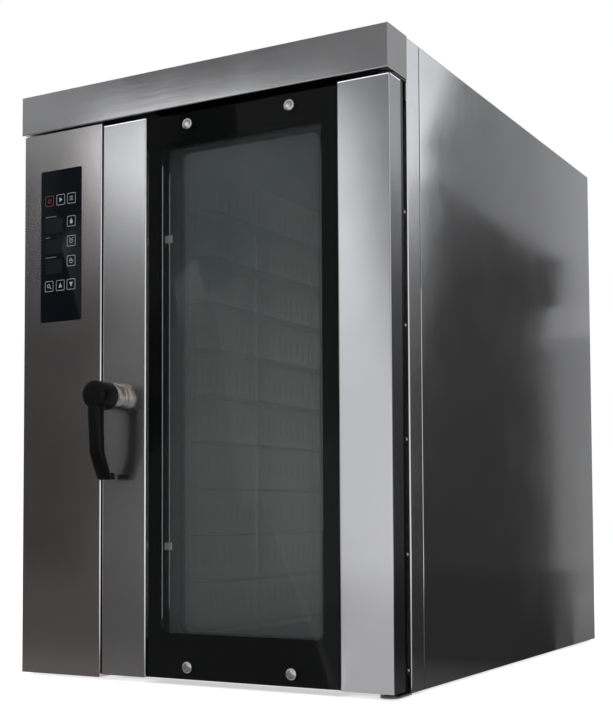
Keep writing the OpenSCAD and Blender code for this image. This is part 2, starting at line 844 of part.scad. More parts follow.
module hinge_bracket_top() {
    plate_z = hood_z - 1.5 - 4;
    color(dull_c) {
        translate([0, 0, plate_z]) linear_extrude(4) hinge_plate(front_y - 0.05);
        block([hinge_x - 12, front_y - bracket_t, door_z1 - bracket_h],
              [half_w - 2, front_y - 0.05, plate_z + 0.1]);
        translate([hinge_x, hinge_y, door_z1 + bush_flange + 0.1])
            cylinder(h = plate_z - door_z1 - bush_flange, r = 11);
        translate([hinge_x, hinge_y, door_z1 - pin_reach]) cylinder(h = plate_z - door_z1 + pin_reach + 1, r = pin_r);
    }
}

module catch_bracket() {
    half = 20;
    reach = front_y - 18;
    color(dull_c) difference() {
        union() {
            block([handle_x - half, front_y - 2.5, handle_z - 34],
                  [handle_x + half, front_y - 0.05, handle_z + 34]);
            for (s = [-1, 1]) translate([handle_x + s * 16.5, 0, 0])
                block([-1.5, reach, handle_z - 30], [1.5, front_y - 2.4, handle_z + 30]);
        }
        for (s = [-1, 1])
            bar_x(handle_x - half, handle_x + half, front_y - 11,
                  handle_z + s * (tongue_r + 0.3 + roller_r), 2.6);
    }
}

module catch_rollers() {
    color(black_c) for (s = [-1, 1]) {
        z = handle_z + s * (tongue_r + 0.3 + roller_r);
        bar_x(handle_x - 14.6, handle_x + 14.6, front_y - 11, z, roller_r);
        bar_x(handle_x - 19, handle_x + 19, front_y - 11, z, 2.5);
    }
}

module frame_screws() {
    color(bright_c) for (x = [half_w - 10, door_x0 + 9], i = [0:4])
        turned_y(x, front_y - 3, panel_lift + 44 + i * 232) {
            square([5, 3]);
            translate([0, -0.6]) square([3.6, 0.7]);
        }
}

module stile_caps(x0, x1) {
    for (z = [door_z0, door_z1 - sheet_t])
        block([x0, door_y + sheet_t, z], [x1, skin_y - 0.1, z + sheet_t]);
}

module door_stile_left() {
    color(bright_c) difference() {
        union() {
            translate([door_x0, door_y, door_z0])
                linear_extrude(door_z1 - door_z0) channel(stile_w, door_t, stile_lip);
            stile_caps(door_x0 + sheet_t, door_x0 + stile_w - sheet_t);
        }
        bar_y(handle_x, handle_z, door_y - 1, door_y + 5, spindle_r + 2);
    }
}

module door_stile_right() {
    color(bright_c) difference() {
        union() {
            translate([door_x1 - stile_w, door_y, door_z0])
                linear_extrude(door_z1 - door_z0) channel(stile_w, stile_lip, door_t);
            stile_caps(door_x1 - stile_w + sheet_t, door_x1 - sheet_t);
        }
        translate([hinge_x, hinge_y, door_z0 - 1]) cylinder(h = door_z1 - door_z0 + 2, r = bush_r + 0.1);
    }
}

// Cross rail behind the outer glass; its web carries the two bolts of one edge
module door_rail(z0, z1, bolt_z) {
    half = door_w / 2 - stile_w - 0.5;
    color(dull_c) difference() {
        sheet_x(door_x - half, door_x + half) translate([rail_front, z0]) mirror([1, 0]) rotate(90)
            channel(z1 - z0, skin_y - sheet_t - rail_front, skin_y - sheet_t - rail_front);
        for (s = [-1, 1])
            bar_y(door_x + s * bolt_x, bolt_z, rail_front - 1, rail_front + 4, 5);
    }
}

module door_rail_bottom() door_rail(door_z0, door_z0 + 80, door_z0 + bolt_inset);

module door_rail_top() door_rail(door_z1 - 56, door_z1, door_z1 - bolt_inset);

module door_inner_skin() {
    color(steel_c) {
        sheet_y(skin_y - sheet_t, skin_y) difference() {
            translate([door_x0 + sheet_t + 0.1, door_z0 + sheet_t + 0.1])
                square([door_w - 2 * sheet_t - 0.2, door_z1 - door_z0 - 2 * sheet_t - 0.2]);
            translate([door_x, aperture_z]) rounded_rect(aperture_w, aperture_h, aperture_r);
            translate([handle_x, handle_z]) circle(spindle_r + 2);
        }
        sheet_y(skin_y - sheet_t - 6, skin_y - sheet_t) translate([door_x, aperture_z]) difference() {
            rounded_rect(aperture_w + 2 * sheet_t, aperture_h + 2 * sheet_t, aperture_r + sheet_t);
            rounded_rect(aperture_w, aperture_h, aperture_r);
        }
    }
}

module door_glass_outer() {
    color(glass_c) difference() {
        sheet_y(glass_front, glass_front + outer_glass_t) translate([door_x, door_zc])
            rounded_rect(outer_glass_w, door_z1 - door_z0 - 3, 3);
        for (s = [-1, 1], z = [door_z0 + bolt_inset, door_z1 - bolt_inset])
            bar_y(door_x + s * bolt_x, z, glass_front - 1, glass_front + outer_glass_t + 1, 6);
    }
}

module door_glass_inner() {
    color(glass_c) sheet_y(pane_y, pane_y + pane_t) translate([door_x, aperture_z])
        rounded_rect(pane_w, pane_h, 4);
}

module inner_glass_seal() {
    color(black_c) sheet_y(pane_y + pane_t, skin_y - sheet_t) translate([door_x, aperture_z])
        difference() {
            rounded_rect(aperture_w + 30, aperture_h + 18, aperture_r + 8);
            rounded_rect(aperture_w + 2 * sheet_t + 0.4, aperture_h + 2 * sheet_t + 0.4,
                         aperture_r + sheet_t);
        }
}

module inner_glass_clips() {
    edge = pane_w / 2;
    color(bright_c) for (s = [-1, 1], z = clip_z) translate([door_x, 0, z]) scale([s, 1, 1]) {
        block([edge + 1, pane_y - 2, -8], [edge + 13, skin_y - sheet_t, 8]);
        block([edge - 6, pane_y - 2, -8], [edge + 2, pane_y - 0.1, 8]);
    }
}

module glass_bolts() {
    color(bright_c) for (s = [-1, 1], z = [door_z0 + bolt_inset, door_z1 - bolt_inset])
        turned_y(door_x + s * bolt_x, glass_front - 4, z) {
            square([bolt_r - 1.5, 4]);
            translate([0, 1.5]) square([bolt_r, 2.5]);
            translate([bolt_r - 1.5, 1.5]) circle(1.5);
            square([4.8, 26]);
            translate([0, 4 + outer_glass_t]) square([10, 2]);
        }
}

module door_gasket() {
    r = 10.6;
    bend_r = 14;
    w = mouth_w + 24;
    h = mouth_h + 20;
    y = front_y - 0.4 - r;
    color(black_c) difference() {
        gasket_ring(w, h, y, r, bend_r);
        for (x = [door_x - w / 2 + bend_r, door_x + w / 2 - bend_r])
            block([x - 0.05, skin_y - 1, 0], [x + 0.05, front_y, hood_z]);
        for (z = [chamber_zc - h / 2 + bend_r, chamber_zc + h / 2 - bend_r])
            block([door_x0, skin_y - 1, z - 0.05], [door_x1, front_y, z + 0.05]);
    }
}

// Round tube on a flat foot, all round the mouth
module gasket_ring(w, h, y, r, bend_r) {
    for (s = [-1, 1]) {
        translate([door_x + s * w / 2, y, chamber_zc - h / 2 + bend_r])
            cylinder(h = h - 2 * bend_r, r = r);
        bar_x(door_x - w / 2 + bend_r, door_x + w / 2 - bend_r, y, chamber_zc + s * h / 2, r);
        for (q = [-1, 1]) translate([door_x + s * (w / 2 - bend_r), y, chamber_zc + q * (h / 2 - bend_r)])
            rotate([90, s > 0 ? (q > 0 ? 0 : 90) : (q > 0 ? 270 : 180), 0])
                rotate_extrude(angle = 90) translate([bend_r, 0]) circle(r);
    }
    sheet_y(skin_y, y) translate([door_x, chamber_zc]) difference() {
        rounded_rect(w + 8, h + 8, bend_r + 4);
        rounded_rect(w - 8, h - 8, bend_r - 4);
    }
}

module hinge_bushes() {
    color("#b08d4a") for (s = [-1, 1]) translate([hinge_x, hinge_y, s > 0 ? door_z1 : door_z0])
        scale([1, 1, s]) rotate_extrude() {
            translate([pin_r + running_gap, -26]) square([bush_r - pin_r - running_gap, 26 + bush_flange]);
            translate([pin_r + running_gap, 0]) square([6.5, bush_flange]);
        }
}

module handle_collar() {
    color(bright_c) turned_y(handle_x, door_y - collar_l, handle_z) difference() {
        union() {
            square([collar_d / 2 - 1, collar_l]);
            translate([0, 1]) square([collar_d / 2, collar_l - 1]);
            translate([0, collar_l - 2]) square([collar_d / 2 + 2, 2]);
        }
        translate([0, -1]) square([spindle_r + running_gap, collar_l + 2]);
    }
}

// Point on a quadratic curve
function curve(a, b, c, t) = (1 - t) * (1 - t) * a + 2 * t * (1 - t) * b + t * t * c;

// Side view of the lever: distance in front of the door, and height from the spindle
module lever_side() {
    front = collar_l + hub_l;
    steps = 8;
    outer = [for (i = [0:steps]) curve([front, 0], [front + 1, -0.7 * lever_reach],
                                       [front - 37, -lever_reach], i / steps)];
    inner = [for (i = [steps:-1:0]) curve([front - 23, 0], [front - 18, -0.62 * lever_reach],
                                          [front - 45, -lever_reach + 17], i / steps)];
    toe = [[front - 62, -lever_reach], [front - 62, -lever_reach + 13],
           [front - 60, -lever_reach + 15.5], [front - 49, -lever_reach + 15.5]];
    polygon([for (p = concat(outer, toe, inner)) [door_y - p.x, handle_z + p.y]]);
}

// Front view of the lever: the hub's round, a neck and a straight blade
module lever_front() {
    half = lever_w / 2;
    translate([handle_x, handle_z]) {
        circle(hub_d / 2 - 1);
        polygon([[-hub_d / 2 + 3, -8], [-half - 2, -40], [-half, -60], [-half, -lever_reach + 3],
                 [-half + 3, -lever_reach], [half - 3, -lever_reach], [half, -lever_reach + 3],
                 [half, -60], [half + 2, -40], [hub_d / 2 - 3, -8]]);
    }
}

module handle_lever() {
    edge_r = 8;
    color(black_c) difference() {
        union() {
            turned_y(handle_x, door_y - collar_l - hub_l, handle_z) {
                square([hub_d / 2 - edge_r, hub_l - 0.1]);
                translate([0, edge_r]) square([hub_d / 2, hub_l - 0.1 - edge_r]);
                translate([hub_d / 2 - edge_r, edge_r]) circle(edge_r);
            }
            intersection() {
                sheet_x(handle_x - hub_d, handle_x + hub_d) lever_side();
                sheet_y(door_y - 120, door_y) lever_front();
            }
        }
        bar_y(handle_x, handle_z, door_y - collar_l - hub_l + 10, door_y, spindle_r + 0.1);
    }
}

module handle_spindle() {
    color(bright_c) {
        bar_y(handle_x, handle_z, door_y - collar_l - hub_l + 12, skin_y + 1, spindle_r);
        sheet_y(skin_y + 0.6, front_y - 5) translate([handle_x, handle_z]) intersection() {
            circle(tongue_r);
            square([tongue_w, 2 * tongue_r + 2], center = true);
        }
    }
}

base_frame();
base_pan();
front_frame();
side_panel_left();
side_panel_right();
top_panel();
rear_panel();
rear_cover();
hood();
control_column();
control_glass();
control_board();
component_plate();
contactors();
terminal_block();
cavity_liner();
insulation();
side_duct_left();
side_duct_right();
rear_baffle();
rack_uprights_left();
rack_uprights_right();
tray_slides_left();
tray_slides_right();
ring_heaters();
motor_plate();
motor_upper();
motor_lower();
motor_shaft_upper();
motor_shaft_lower();
fan_wheel_upper();
fan_wheel_lower();
water_valve();
steam_pipe();
temperature_probe();
lamp_lens();
lamp_housing();
flue_pipe();
drain_pipe();
cable_gland();
hinge_bracket_top();
hinge_bracket_bottom();
catch_bracket();
catch_rollers();
frame_screws();
door_stile_left();
door_stile_right();
door_rail_top();
door_rail_bottom();
door_inner_skin();
door_glass_outer();
door_glass_inner();
inner_glass_seal();
inner_glass_clips();
glass_bolts();
door_gasket();
hinge_bushes();
handle_collar();
handle_lever();
handle_spindle();
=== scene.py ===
"""Looks of a tall stainless convection oven with a side-hung glass door and a control column.

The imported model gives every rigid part. This script finishes its surfaces, replaces the parts whose
edges, prints or fillets show from a step away, and adds the small fittings that have no node.
"""
import logging
import math
from collections.abc import Iterable, Sequence
from dataclasses import dataclass
from enum import Enum

import bmesh
import bpy
from bpy.types import ID, Material, NodeSocket, Object
from mathutils import Matrix, Vector


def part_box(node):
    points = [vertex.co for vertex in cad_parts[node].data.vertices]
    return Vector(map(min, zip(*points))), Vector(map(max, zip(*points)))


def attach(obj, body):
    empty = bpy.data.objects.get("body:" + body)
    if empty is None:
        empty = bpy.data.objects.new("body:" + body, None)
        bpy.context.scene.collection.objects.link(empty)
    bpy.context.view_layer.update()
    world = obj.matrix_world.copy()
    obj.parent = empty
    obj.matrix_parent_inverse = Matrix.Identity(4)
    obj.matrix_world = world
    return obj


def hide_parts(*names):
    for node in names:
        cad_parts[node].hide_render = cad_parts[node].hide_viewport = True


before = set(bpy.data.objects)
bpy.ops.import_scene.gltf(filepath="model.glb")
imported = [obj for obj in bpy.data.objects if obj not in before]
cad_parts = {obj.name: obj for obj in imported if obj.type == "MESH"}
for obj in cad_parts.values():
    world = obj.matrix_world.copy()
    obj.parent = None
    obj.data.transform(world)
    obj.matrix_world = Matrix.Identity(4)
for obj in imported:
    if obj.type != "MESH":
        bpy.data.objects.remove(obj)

LOG = logging.getLogger("oven")
MM = 0.001
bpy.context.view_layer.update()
FACE_Y = -715.0 * MM  # front of the control column and of the door
MIX = {"data_type": "RGBA"}
TIMES = {"data_type": "RGBA", "blend_type": "MULTIPLY"}
MOST = (0.3, 0.7)  # between these lie most of a cloudy pattern's values

Point2 = tuple[float, float]
Point3 = tuple[float, float, float]
Ring = list[bmesh.types.BMVert]


class Axis(Enum):
    """Direction of brushing, of turning or extruding, and of a card's run of light."""
    X = (1, 0, 0)
    Y = (0, 1, 0)
    Z = (0, 0, 1)


def srgb(code: str) -> tuple[float, float, float, float]:
    """Turn a hex colour into linear RGBA.

    Args:
        code: colour as "#rrggbb".

    Returns:
        Red, green, blue and an alpha of 1.
    """
    out = []
    for i in (1, 3, 5):
        c = int(code[i:i + 2], 16) / 255
        out.append(c / 12.92 if c <= 0.04045 else ((c + 0.055) / 1.055) ** 2.4)
    return (*out, 1.0)


def mm(*sizes: float) -> tuple[float, ...]:
    """Turn sizes in millimetres into metres."""
    return tuple(size * MM for size in sizes)


def linked(name: str, data: ID) -> Object:
    """Make an object and link it to the scene.

    Args:
        name: the object's name.
        data: its mesh, lamp or camera.

    Returns:
        The new object.
    """
    obj = bpy.data.objects.new(name, data)
    bpy.context.scene.collection.objects.link(obj)
    return obj


class Graph:
    """Node tree of a material or a world, with the one way to add nodes to it."""

    def __init__(self, owner: ID) -> None:
        """Take the owner's tree and empty it.

        Args:
            owner: the material or world.
        """
        self.owner = owner
        owner.use_nodes = True
        self.tree = owner.node_tree
        self.tree.nodes.clear()

    def add(self, kind: str, inputs: dict | Sequence = (), out: int | str = 0,
            **settings: str) -> NodeSocket | None:
        """Add a node with its settings and links.

        Args:
            kind: the node's type name without the ShaderNode prefix.
            inputs: values or other nodes' outputs, in order or by input name or index.
            out: name or index of the output that is wanted.
            settings: attributes of the node itself.

        Returns:
            That output, or None where the node has none.
        """
        node = self.tree.nodes.new("ShaderNode" + kind)
        for key, value in settings.items():
            setattr(node, key, value)
        for key, value in inputs.items() if isinstance(inputs, dict) else enumerate(inputs):
            if isinstance(value, NodeSocket):
                self.tree.links.new(value, node.inputs[key])
            else:
                node.inputs[key].default_value = value
        return node.outputs[out] if len(node.outputs) else None

    def pattern(self, scale: Sequence[float], detail: float = 3.0,
                roughness: float = 0.5) -> NodeSocket:
        """Lay a cloudy pattern over Object coordinates.

        Args:
            scale: spots per metre along each axis.
            detail: number of finer layers.
            roughness: weight of the finer layers.

        Returns:
            The pattern's value.
        """
        place = self.add("Mapping", {"Vector": self.add("TexCoord", out="Object"), "Scale": scale})
        return self.add("TexNoise", {"Vector": place, "Scale": 1.0, "Detail": detail,
                                     "Roughness": roughness}, "Fac")

    def seen(self) -> NodeSocket:
        """1 for rays from the camera, off gloss or through glass, and 0 for all others.

        Returns:
            That value.
        """
        rays = self.add("LightPath").node.outputs
        gloss = self.add("Math", (rays["Is Camera Ray"], rays["Is Glossy Ray"]),
                         operation="MAXIMUM")
        return self.add("Math", (gloss, rays["Is Transmission Ray"]), operation="MAXIMUM")

    def surface(self, inputs: dict) -> Material:
        """Close the tree with a Principled surface and return its material."""
        self.add("OutputMaterial", (self.add("BsdfPrincipled", inputs),))
        return self.owner


@dataclass(frozen=True)
class Steel:
    """Brushed stainless sheet: fine lines along one axis under clouds of handling marks.

    It mirrors what stands round it as soft shapes, drawn out across the lines.
    """
    name: str
    top: str
    # the bottom colour is painted shade: the sheet drawn darker and warmer near the floor
    bottom: str = ""
    along: Axis = Axis.Z
    rough: float = 0.18
    streak: float = 0.03
    depth: float = 0.000004
    # factor that dims the faces looking along X: painted shade of the sheet's sides
    return_shade: float = 1.0
    # depth behind which the sheet is painted black: painted shadow in the gap beside the door
    shade_from: float = 9.0
    bend_highlight: bool = False

    # lines 0.7 mm apart, coarser than real brushing so that they show, and 170 mm long
    ACROSS, ALONG = 1400.0, 6.0
    # handling marks 200 mm wide
    MARKS = 5.0
    # heights between which the bottom colour, a painted shade near the floor, turns to the top one
    FADE = (0.0, 1.25)
    # painted highlight: faces that lie off the axes, the bent ones, are drawn in this brighter colour
    BEND_HIGHLIGHT = "#e9e9eb"

    def material(self) -> Material:
        """Build the material.

        Faces that look along X are dimmed by a factor, painted shade of the sheet's sides, and are
        black behind a set depth, painted shadow in the gap beside the door.

        Returns:
            The material.
        """
        g = Graph(bpy.data.materials.new(self.name))
        streaks = g.pattern(tuple(self.ALONG if a else self.ACROSS for a in self.along.value),
                            4.0, 0.6)
        marks = g.pattern((self.MARKS,) * 3, 5.0, 0.55)
        color = srgb(self.top)
        # painted shade: the colour turns darker and warmer towards the floor
        if self.bottom:
            height = g.add("SeparateXYZ", (g.add("TexCoord", out="Object"),), 2)
            fade = g.add("MapRange", (height, *self.FADE))
            color = g.add("Mix", {0: fade, 6: srgb(self.bottom), 7: color}, 2, **MIX)
        # painted shade: faces that look along X are dimmed
        if self.return_shade < 1:
            facing = g.add("SeparateXYZ", (g.add("NewGeometry", out="True Normal"),))
            dim = g.add("MapRange", (facing, 0.5, 0.9, 1.0, self.return_shade))
            # painted shadow: black behind the set depth
            depth = g.add("SeparateXYZ", (g.add("TexCoord", out="Object"),), 1)
            gap_shadow = g.add("MapRange", (depth, self.shade_from, self.shade_from + 0.4 * MM,
                                       1.0, 0.02))
            dim = g.add("Math", (dim, gap_shadow), operation="MULTIPLY")
            color = g.add("Mix", {0: 1.0, 6: color, 7: g.add("CombineColor", (dim,) * 3)}, 2,
                          **TIMES)
        # painted highlight: bent faces turn to the brighter colour
        if self.bend_highlight:
            normal = g.add("SeparateXYZ", (g.add("NewGeometry", out="True Normal"),)).node
            x, y, z = (g.add("Math", (part, 0.0), operation="ABSOLUTE") for part in normal.outputs)
            flat = g.add("Math", (g.add("Math", (x, y), operation="MAXIMUM"), z),
                         operation="MAXIMUM")
            bend = g.add("MapRange", (flat, 0.9, 0.98, 1.0, 0.0))
            color = g.add("Mix", {0: bend, 6: color, 7: srgb(self.BEND_HIGHLIGHT)}, 2, **MIX)
        tone = g.add("MapRange", (streaks, *MOST, 1 - self.streak, 1 + self.streak))
        color = g.add("Mix", {0: 1.0, 6: color, 7: g.add("CombineColor", (tone,) * 3)}, 2, **TIMES)
        lines = g.add("MapRange", (streaks, *MOST, self.rough - 0.02, self.rough + 0.02))
        haze = g.add("MapRange", (marks, 0.35, 0.7, -0.01, 0.03))
        return g.surface({
            "Base Color": color, "Metallic": 1.0,
            "Roughness": g.add("Math", (lines, haze), operation="ADD"),
            "Normal": g.add("Bump", {"Height": streaks, "Strength": 0.2, "Distance": self.depth})})


@dataclass(frozen=True)
class Mill:
    """Rolled, galvanised, copper or bronze metal: a mottle of dull lighter and darker cells."""
    name: str
    color: str
    other: str
    rough: float = 0.38
    grain: float = 60.0  # cells per metre: 60 is spangle 17 mm wide

    def material(self) -> Material:
        """Build the material.

        Returns:
            The material.
        """
        g = Graph(bpy.data.materials.new(self.name))
        place = g.add("Mapping", {"Vector": g.add("TexCoord", out="Object"),
                                  "Scale": (self.grain,) * 3})
        cells = g.add("TexVoronoi", {"Vector": place, "Scale": 1.0, "Randomness": 1.0}, "Color")
        tone = g.add("SeparateColor", (cells,))
        fine = g.pattern((self.grain * 9,) * 3)
        dull = g.add("MapRange", (tone, 0, 1, self.rough - 0.06, self.rough + 0.06))
        haze = g.add("MapRange", (fine, *MOST, -0.03, 0.03))
        return g.surface({
            "Base Color": g.add("Mix", {0: tone, 6: srgb(self.color), 7: srgb(self.other)}, 2,
                                **MIX),
            "Metallic": 1.0, "Roughness": g.add("Math", (dull, haze), operation="ADD"),
            "Normal": g.add("Bump", {"Height": fine, "Strength": 0.15, "Distance": 0.00003})})


@dataclass(frozen=True)
class Polished:
    """Polished or plated metal: clear mirror images under faint scratches."""
    name: str
    color: str
    rough: float = 0.12

    SCRATCH = 900.0  # per metre: 1.1 mm apart, coarser than real ones so that they show

    def material(self) -> Material:
        """Build the material.

        Returns:
            The material.
        """
        g = Graph(bpy.data.materials.new(self.name))
        scratches = g.pattern((self.SCRATCH,) * 3, 2.0)
        return g.surface({
            "Base Color": srgb(self.color), "Metallic": 1.0,
            "Roughness": g.add("MapRange", (scratches, 0.3, 0.8, self.rough, self.rough + 0.1)),
            "Normal": g.add("Bump", {"Height": scratches, "Strength": 0.06, "Distance": 0.00001})})


@dataclass(frozen=True)
class Moulded:
    """Plastic, rubber or paint: a soft sheen broken by a fine moulded grain."""
    name: str
    color: str
    rough: float = 0.5
    grain: float = 900.0  # spots per metre: 900 is a grain of 1.1 mm, coarse enough to show
    relief: float = 0.25
    worn: str = ""
    shine: float = 0.35

    CLOUD = 14.0  # worn patches 70 mm wide

    def material(self) -> Material:
        """Build the material.

        Returns:
            The material.
        """
        g = Graph(bpy.data.materials.new(self.name))
        grain = g.pattern((self.grain,) * 3)
        cloud = g.pattern((self.CLOUD,) * 3, 4.0)
        worn = g.add("MapRange", (cloud, 0.4, 0.75))
        dull = g.add("MapRange", (grain, *MOST, self.rough - 0.06, self.rough + 0.06))
        haze = g.add("MapRange", (cloud, *MOST, -0.03, 0.03))
        return g.surface({
            "Base Color": g.add("Mix", {0: worn, 6: srgb(self.color),
                                        7: srgb(self.worn or self.color)}, 2, **MIX),
            "Roughness": g.add("Math", (dull, haze), operation="ADD"),
            "Specular IOR Level": self.shine,
            "Normal": g.add("Bump", {"Height": grain, "Strength": self.relief,
                                     "Distance": 0.00006})})


@dataclass(frozen=True)
class Pane:
    """Tinted float glass: a dark, sharp mirror that lets some of the chamber through."""
    name: str
    tint: str
    alpha: float
    rough: float = 0.03
    specular: float = 0.5
    # tint of the pane's lower half: painted light
    low: str = ""

    SMEARS = (3.0, 3.0, 5.0)  # wiping marks 200 to 330 mm wide
    # the low tint below these heights is painted light
    FADE = (0.7, 1.12)  # heights between which the low tint turns to the pane's own

    def material(self) -> Material:
        """Build the material; the haze turns to the low tint, a painted light, in the pane's lower
        half.

        Returns:
            The material.
        """
        g = Graph(bpy.data.materials.new(self.name))
        height = g.add("SeparateXYZ", (g.add("TexCoord", out="Object"),), 2)
        share = g.add("MapRange", (height, *self.FADE))
        return g.surface({
            "Base Color": g.add("Mix", {0: share, 6: srgb(self.low or self.tint),
                                        7: srgb(self.tint)}, 2, **MIX),
            "Roughness": g.add("MapRange", (g.pattern(self.SMEARS, 4.0), 0.35, 0.8, self.rough,
                                            self.rough + 0.05)),
            "Alpha": self.alpha, "Specular IOR Level": self.specular})


@dataclass(frozen=True)
class Wool:
    """Mineral wool: matted fibres in two scales, quite dull."""
    name: str
    color: str
    other: str

    FIBRES = (120, 700, 700)  # 8 mm long and 1.4 mm thick, drawn coarse so that they show
    TUFTS = 28.0  # 36 mm wide

    def material(self) -> Material:
        """Build the material.

        Returns:
            The material.
        """
        g = Graph(bpy.data.materials.new(self.name))
        tufts = g.pattern((self.TUFTS,) * 3, 5.0, 0.6)
        height = g.add("Math", (g.pattern(self.FIBRES, 6.0, 0.7), tufts), operation="ADD")
        return g.surface({
            "Base Color": g.add("Mix", {0: tufts, 6: srgb(self.color), 7: srgb(self.other)}, 2,
                                **MIX),
            "Roughness": 0.95,
            "Normal": g.add("Bump", {"Height": height, "Strength": 0.8, "Distance": 0.002})})


@dataclass(frozen=True)
class Print:
    """Screen-printed ceramic ink: flat and opaque, with a faint speck; some inks seem lit."""
    name: str
    color: str
    rough: float = 0.35
    glow: float = 0.0
    specular: float = 0.2

    SPECK = 2500.0  # per metre: 0.4 mm apart

    def material(self) -> Material:
        """Build the material.

        Returns:
            The material.
        """
        g = Graph(bpy.data.materials.new(self.name))
        speck = g.add("MapRange", (g.pattern((self.SPECK,) * 3, 1.0), 0.2, 0.8, 0, 0.12))
        values = {"Base Color": g.add("Mix", {0: speck, 6: srgb(self.color), 7: srgb("#000000")},
                                      2, **MIX),
                  "Roughness": self.rough, "Specular IOR Level": self.specular}
        if self.glow:
            values |= {"Emission Color": srgb(self.color), "Emission Strength": self.glow}
        return g.surface(values)


class Finish(Enum):
    """Every finish on the oven."""
    # brushed stainless of the outside, polished enough to mirror lights as soft bands
    # second colours are painted shade near the floor, dimmed sides painted shade, black behind a set
    # depth painted shadow, and brighter bent faces painted highlights
    HOOD = Steel("steel_hood", "#c9c9ca", along=Axis.X, rough=0.12, return_shade=0.36, bend_highlight=True)
    COLUMN = Steel("steel_column", "#c8c6c5", "#c8c3be", rough=0.15, bend_highlight=True)
    STILE = Steel("steel_stile", "#cbccce", "#cac7c5", rough=0.20, bend_highlight=True)
    # its sides get painted shade, and behind y = -663.5 mm it is painted black as shadow in the gap
    HINGE_STILE = Steel("steel_hinge_stile", "#cccdd0", "#cacacb", rough=0.15,
                        return_shade=0.40, shade_from=-0.6635)
    FRAME = Steel("steel_front_frame", "#cccdcf", "#c9c8c7", rough=0.14)
    SIDE = Steel("steel_side", "#c8c9cb", "#c6c6c6", rough=0.09)
    # dull mill-finish stainless of the roof, the rear and the chamber
    SHEET = Steel("steel_sheet", "#b4b5b7", along=Axis.X, rough=0.32, streak=0.01)
    CHAMBER = Steel("steel_chamber", "#c2c4c2", rough=0.34, depth=0.00002)
    # tray slides drawn darker than the chamber's steel: painted shade under them
    SLIDE = Steel("shaded_steel_slide", "#7c7e7e", along=Axis.Y, rough=0.36)
    UPRIGHT = Steel("steel_upright", "#b0b2b0", rough=0.37)
    # plain metals with a mottle: zinc spangle, drawn copper, rolled steel, cast bronze, scale
    ZINC = Mill("galvanised_sheet", "#8b8f91", "#a3a7a9")
    COPPER = Mill("copper_pipe", "#b5714a", "#9a5a3a", 0.3, 90.0)
    BRACKET = Mill("bracket_steel", "#3c3d3d", "#4a4b4b", 0.36, 220.0)
    BRONZE = Mill("bronze_bush", "#5a4a2c", "#4d3f25", 0.42, 200.0)
    HEATER = Mill("heater_sheath", "#3b3733", "#5b4a3d", 0.5, 300.0)
    # plated and turned fittings, which mirror almost sharply
    CHROME = Polished("chrome_plate", "#b9b3ac", 0.17)
    BOLT = Polished("bolt_steel", "#d6d5d4", 0.2)
    SHAFT = Polished("shaft_steel", "#b8b9bb", 0.22)
    # silicone rubber, nylon and other plastics, board lacquer and motor paint
    RUBBER = Moulded("gasket_rubber", "#141414", 0.62, 500.0, 0.4, "#1d1c1b")
    HANDLE = Moulded("handle_plastic", "#050606", 0.42, 1400.0, 0.3, "#08090a", 0.14)
    PLASTIC = Moulded("black_plastic", "#17181a", 0.5)
    GREY = Moulded("grey_plastic", "#b9b6ab", 0.5)
    NYLON = Moulded("nylon_clip", "#e4e5e3", 0.5)
    BOARD = Moulded("circuit_board", "#1f4a2b", 0.35, 300.0, 0.2)
    MOTOR = Moulded("motor_paint", "#30363c", 0.4, 700.0, 0.3, "#3a4148")
    WOOL = Wool("mineral_wool", "#c7b98b", "#a8986a")
    # glass: the outer pane is clear and dark; the inner one's tint is partly haze from heat and
    # partly painted light of the chamber, lighter in its lower half
    OUTER_GLASS = Pane("door_glass_tint", "#040606", 0.20, 0.015, 0.5)
    INNER_GLASS = Pane("inner_pane_tint", "#6b7775", 0.42, 0.03, 0.4, "#858f8c")
    LENS = Pane("lamp_lens_glass", "#dfe4de", 0.55, 0.25)
    # inks, and painted highlights and glints on edges, flat areas of one colour
    FRIT = Print("glass_print_black", "#030304", 0.4, specular=0.03)
    PANEL = Print("control_glass_black", "#0c0e13", 0.12, specular=0.1)
    READOUT = Print("readout_window", "#13161b", 0.2)
    ICON = Print("icon_white", "#8f9298", 0.5, 0.12)
    ICON_RED = Print("icon_red", "#6c343c", 0.5, 0.15)
    LABEL = Print("label_grey", "#5a5d63", 0.5)
    # painted highlight: a glowing white for the door's top edges
    CUT = Print("edge_highlight_white", "#e6e7ea", 0.4, 0.5)
    # partly a lip's grey and partly a painted glint: the grey glows
    LIP = Print("lip_glint_grey", "#c3c6c7", 0.4, 0.12)
    # painted shadow: near-black for the gaps and the door's rails, where shade falls
    VOID = Print("painted_shadow_black", "#050505", 0.9)

    def get(self) -> Material:
        """The finish's material, made on first use."""
        return bpy.data.materials.get(self.value.name) or self.value.material()


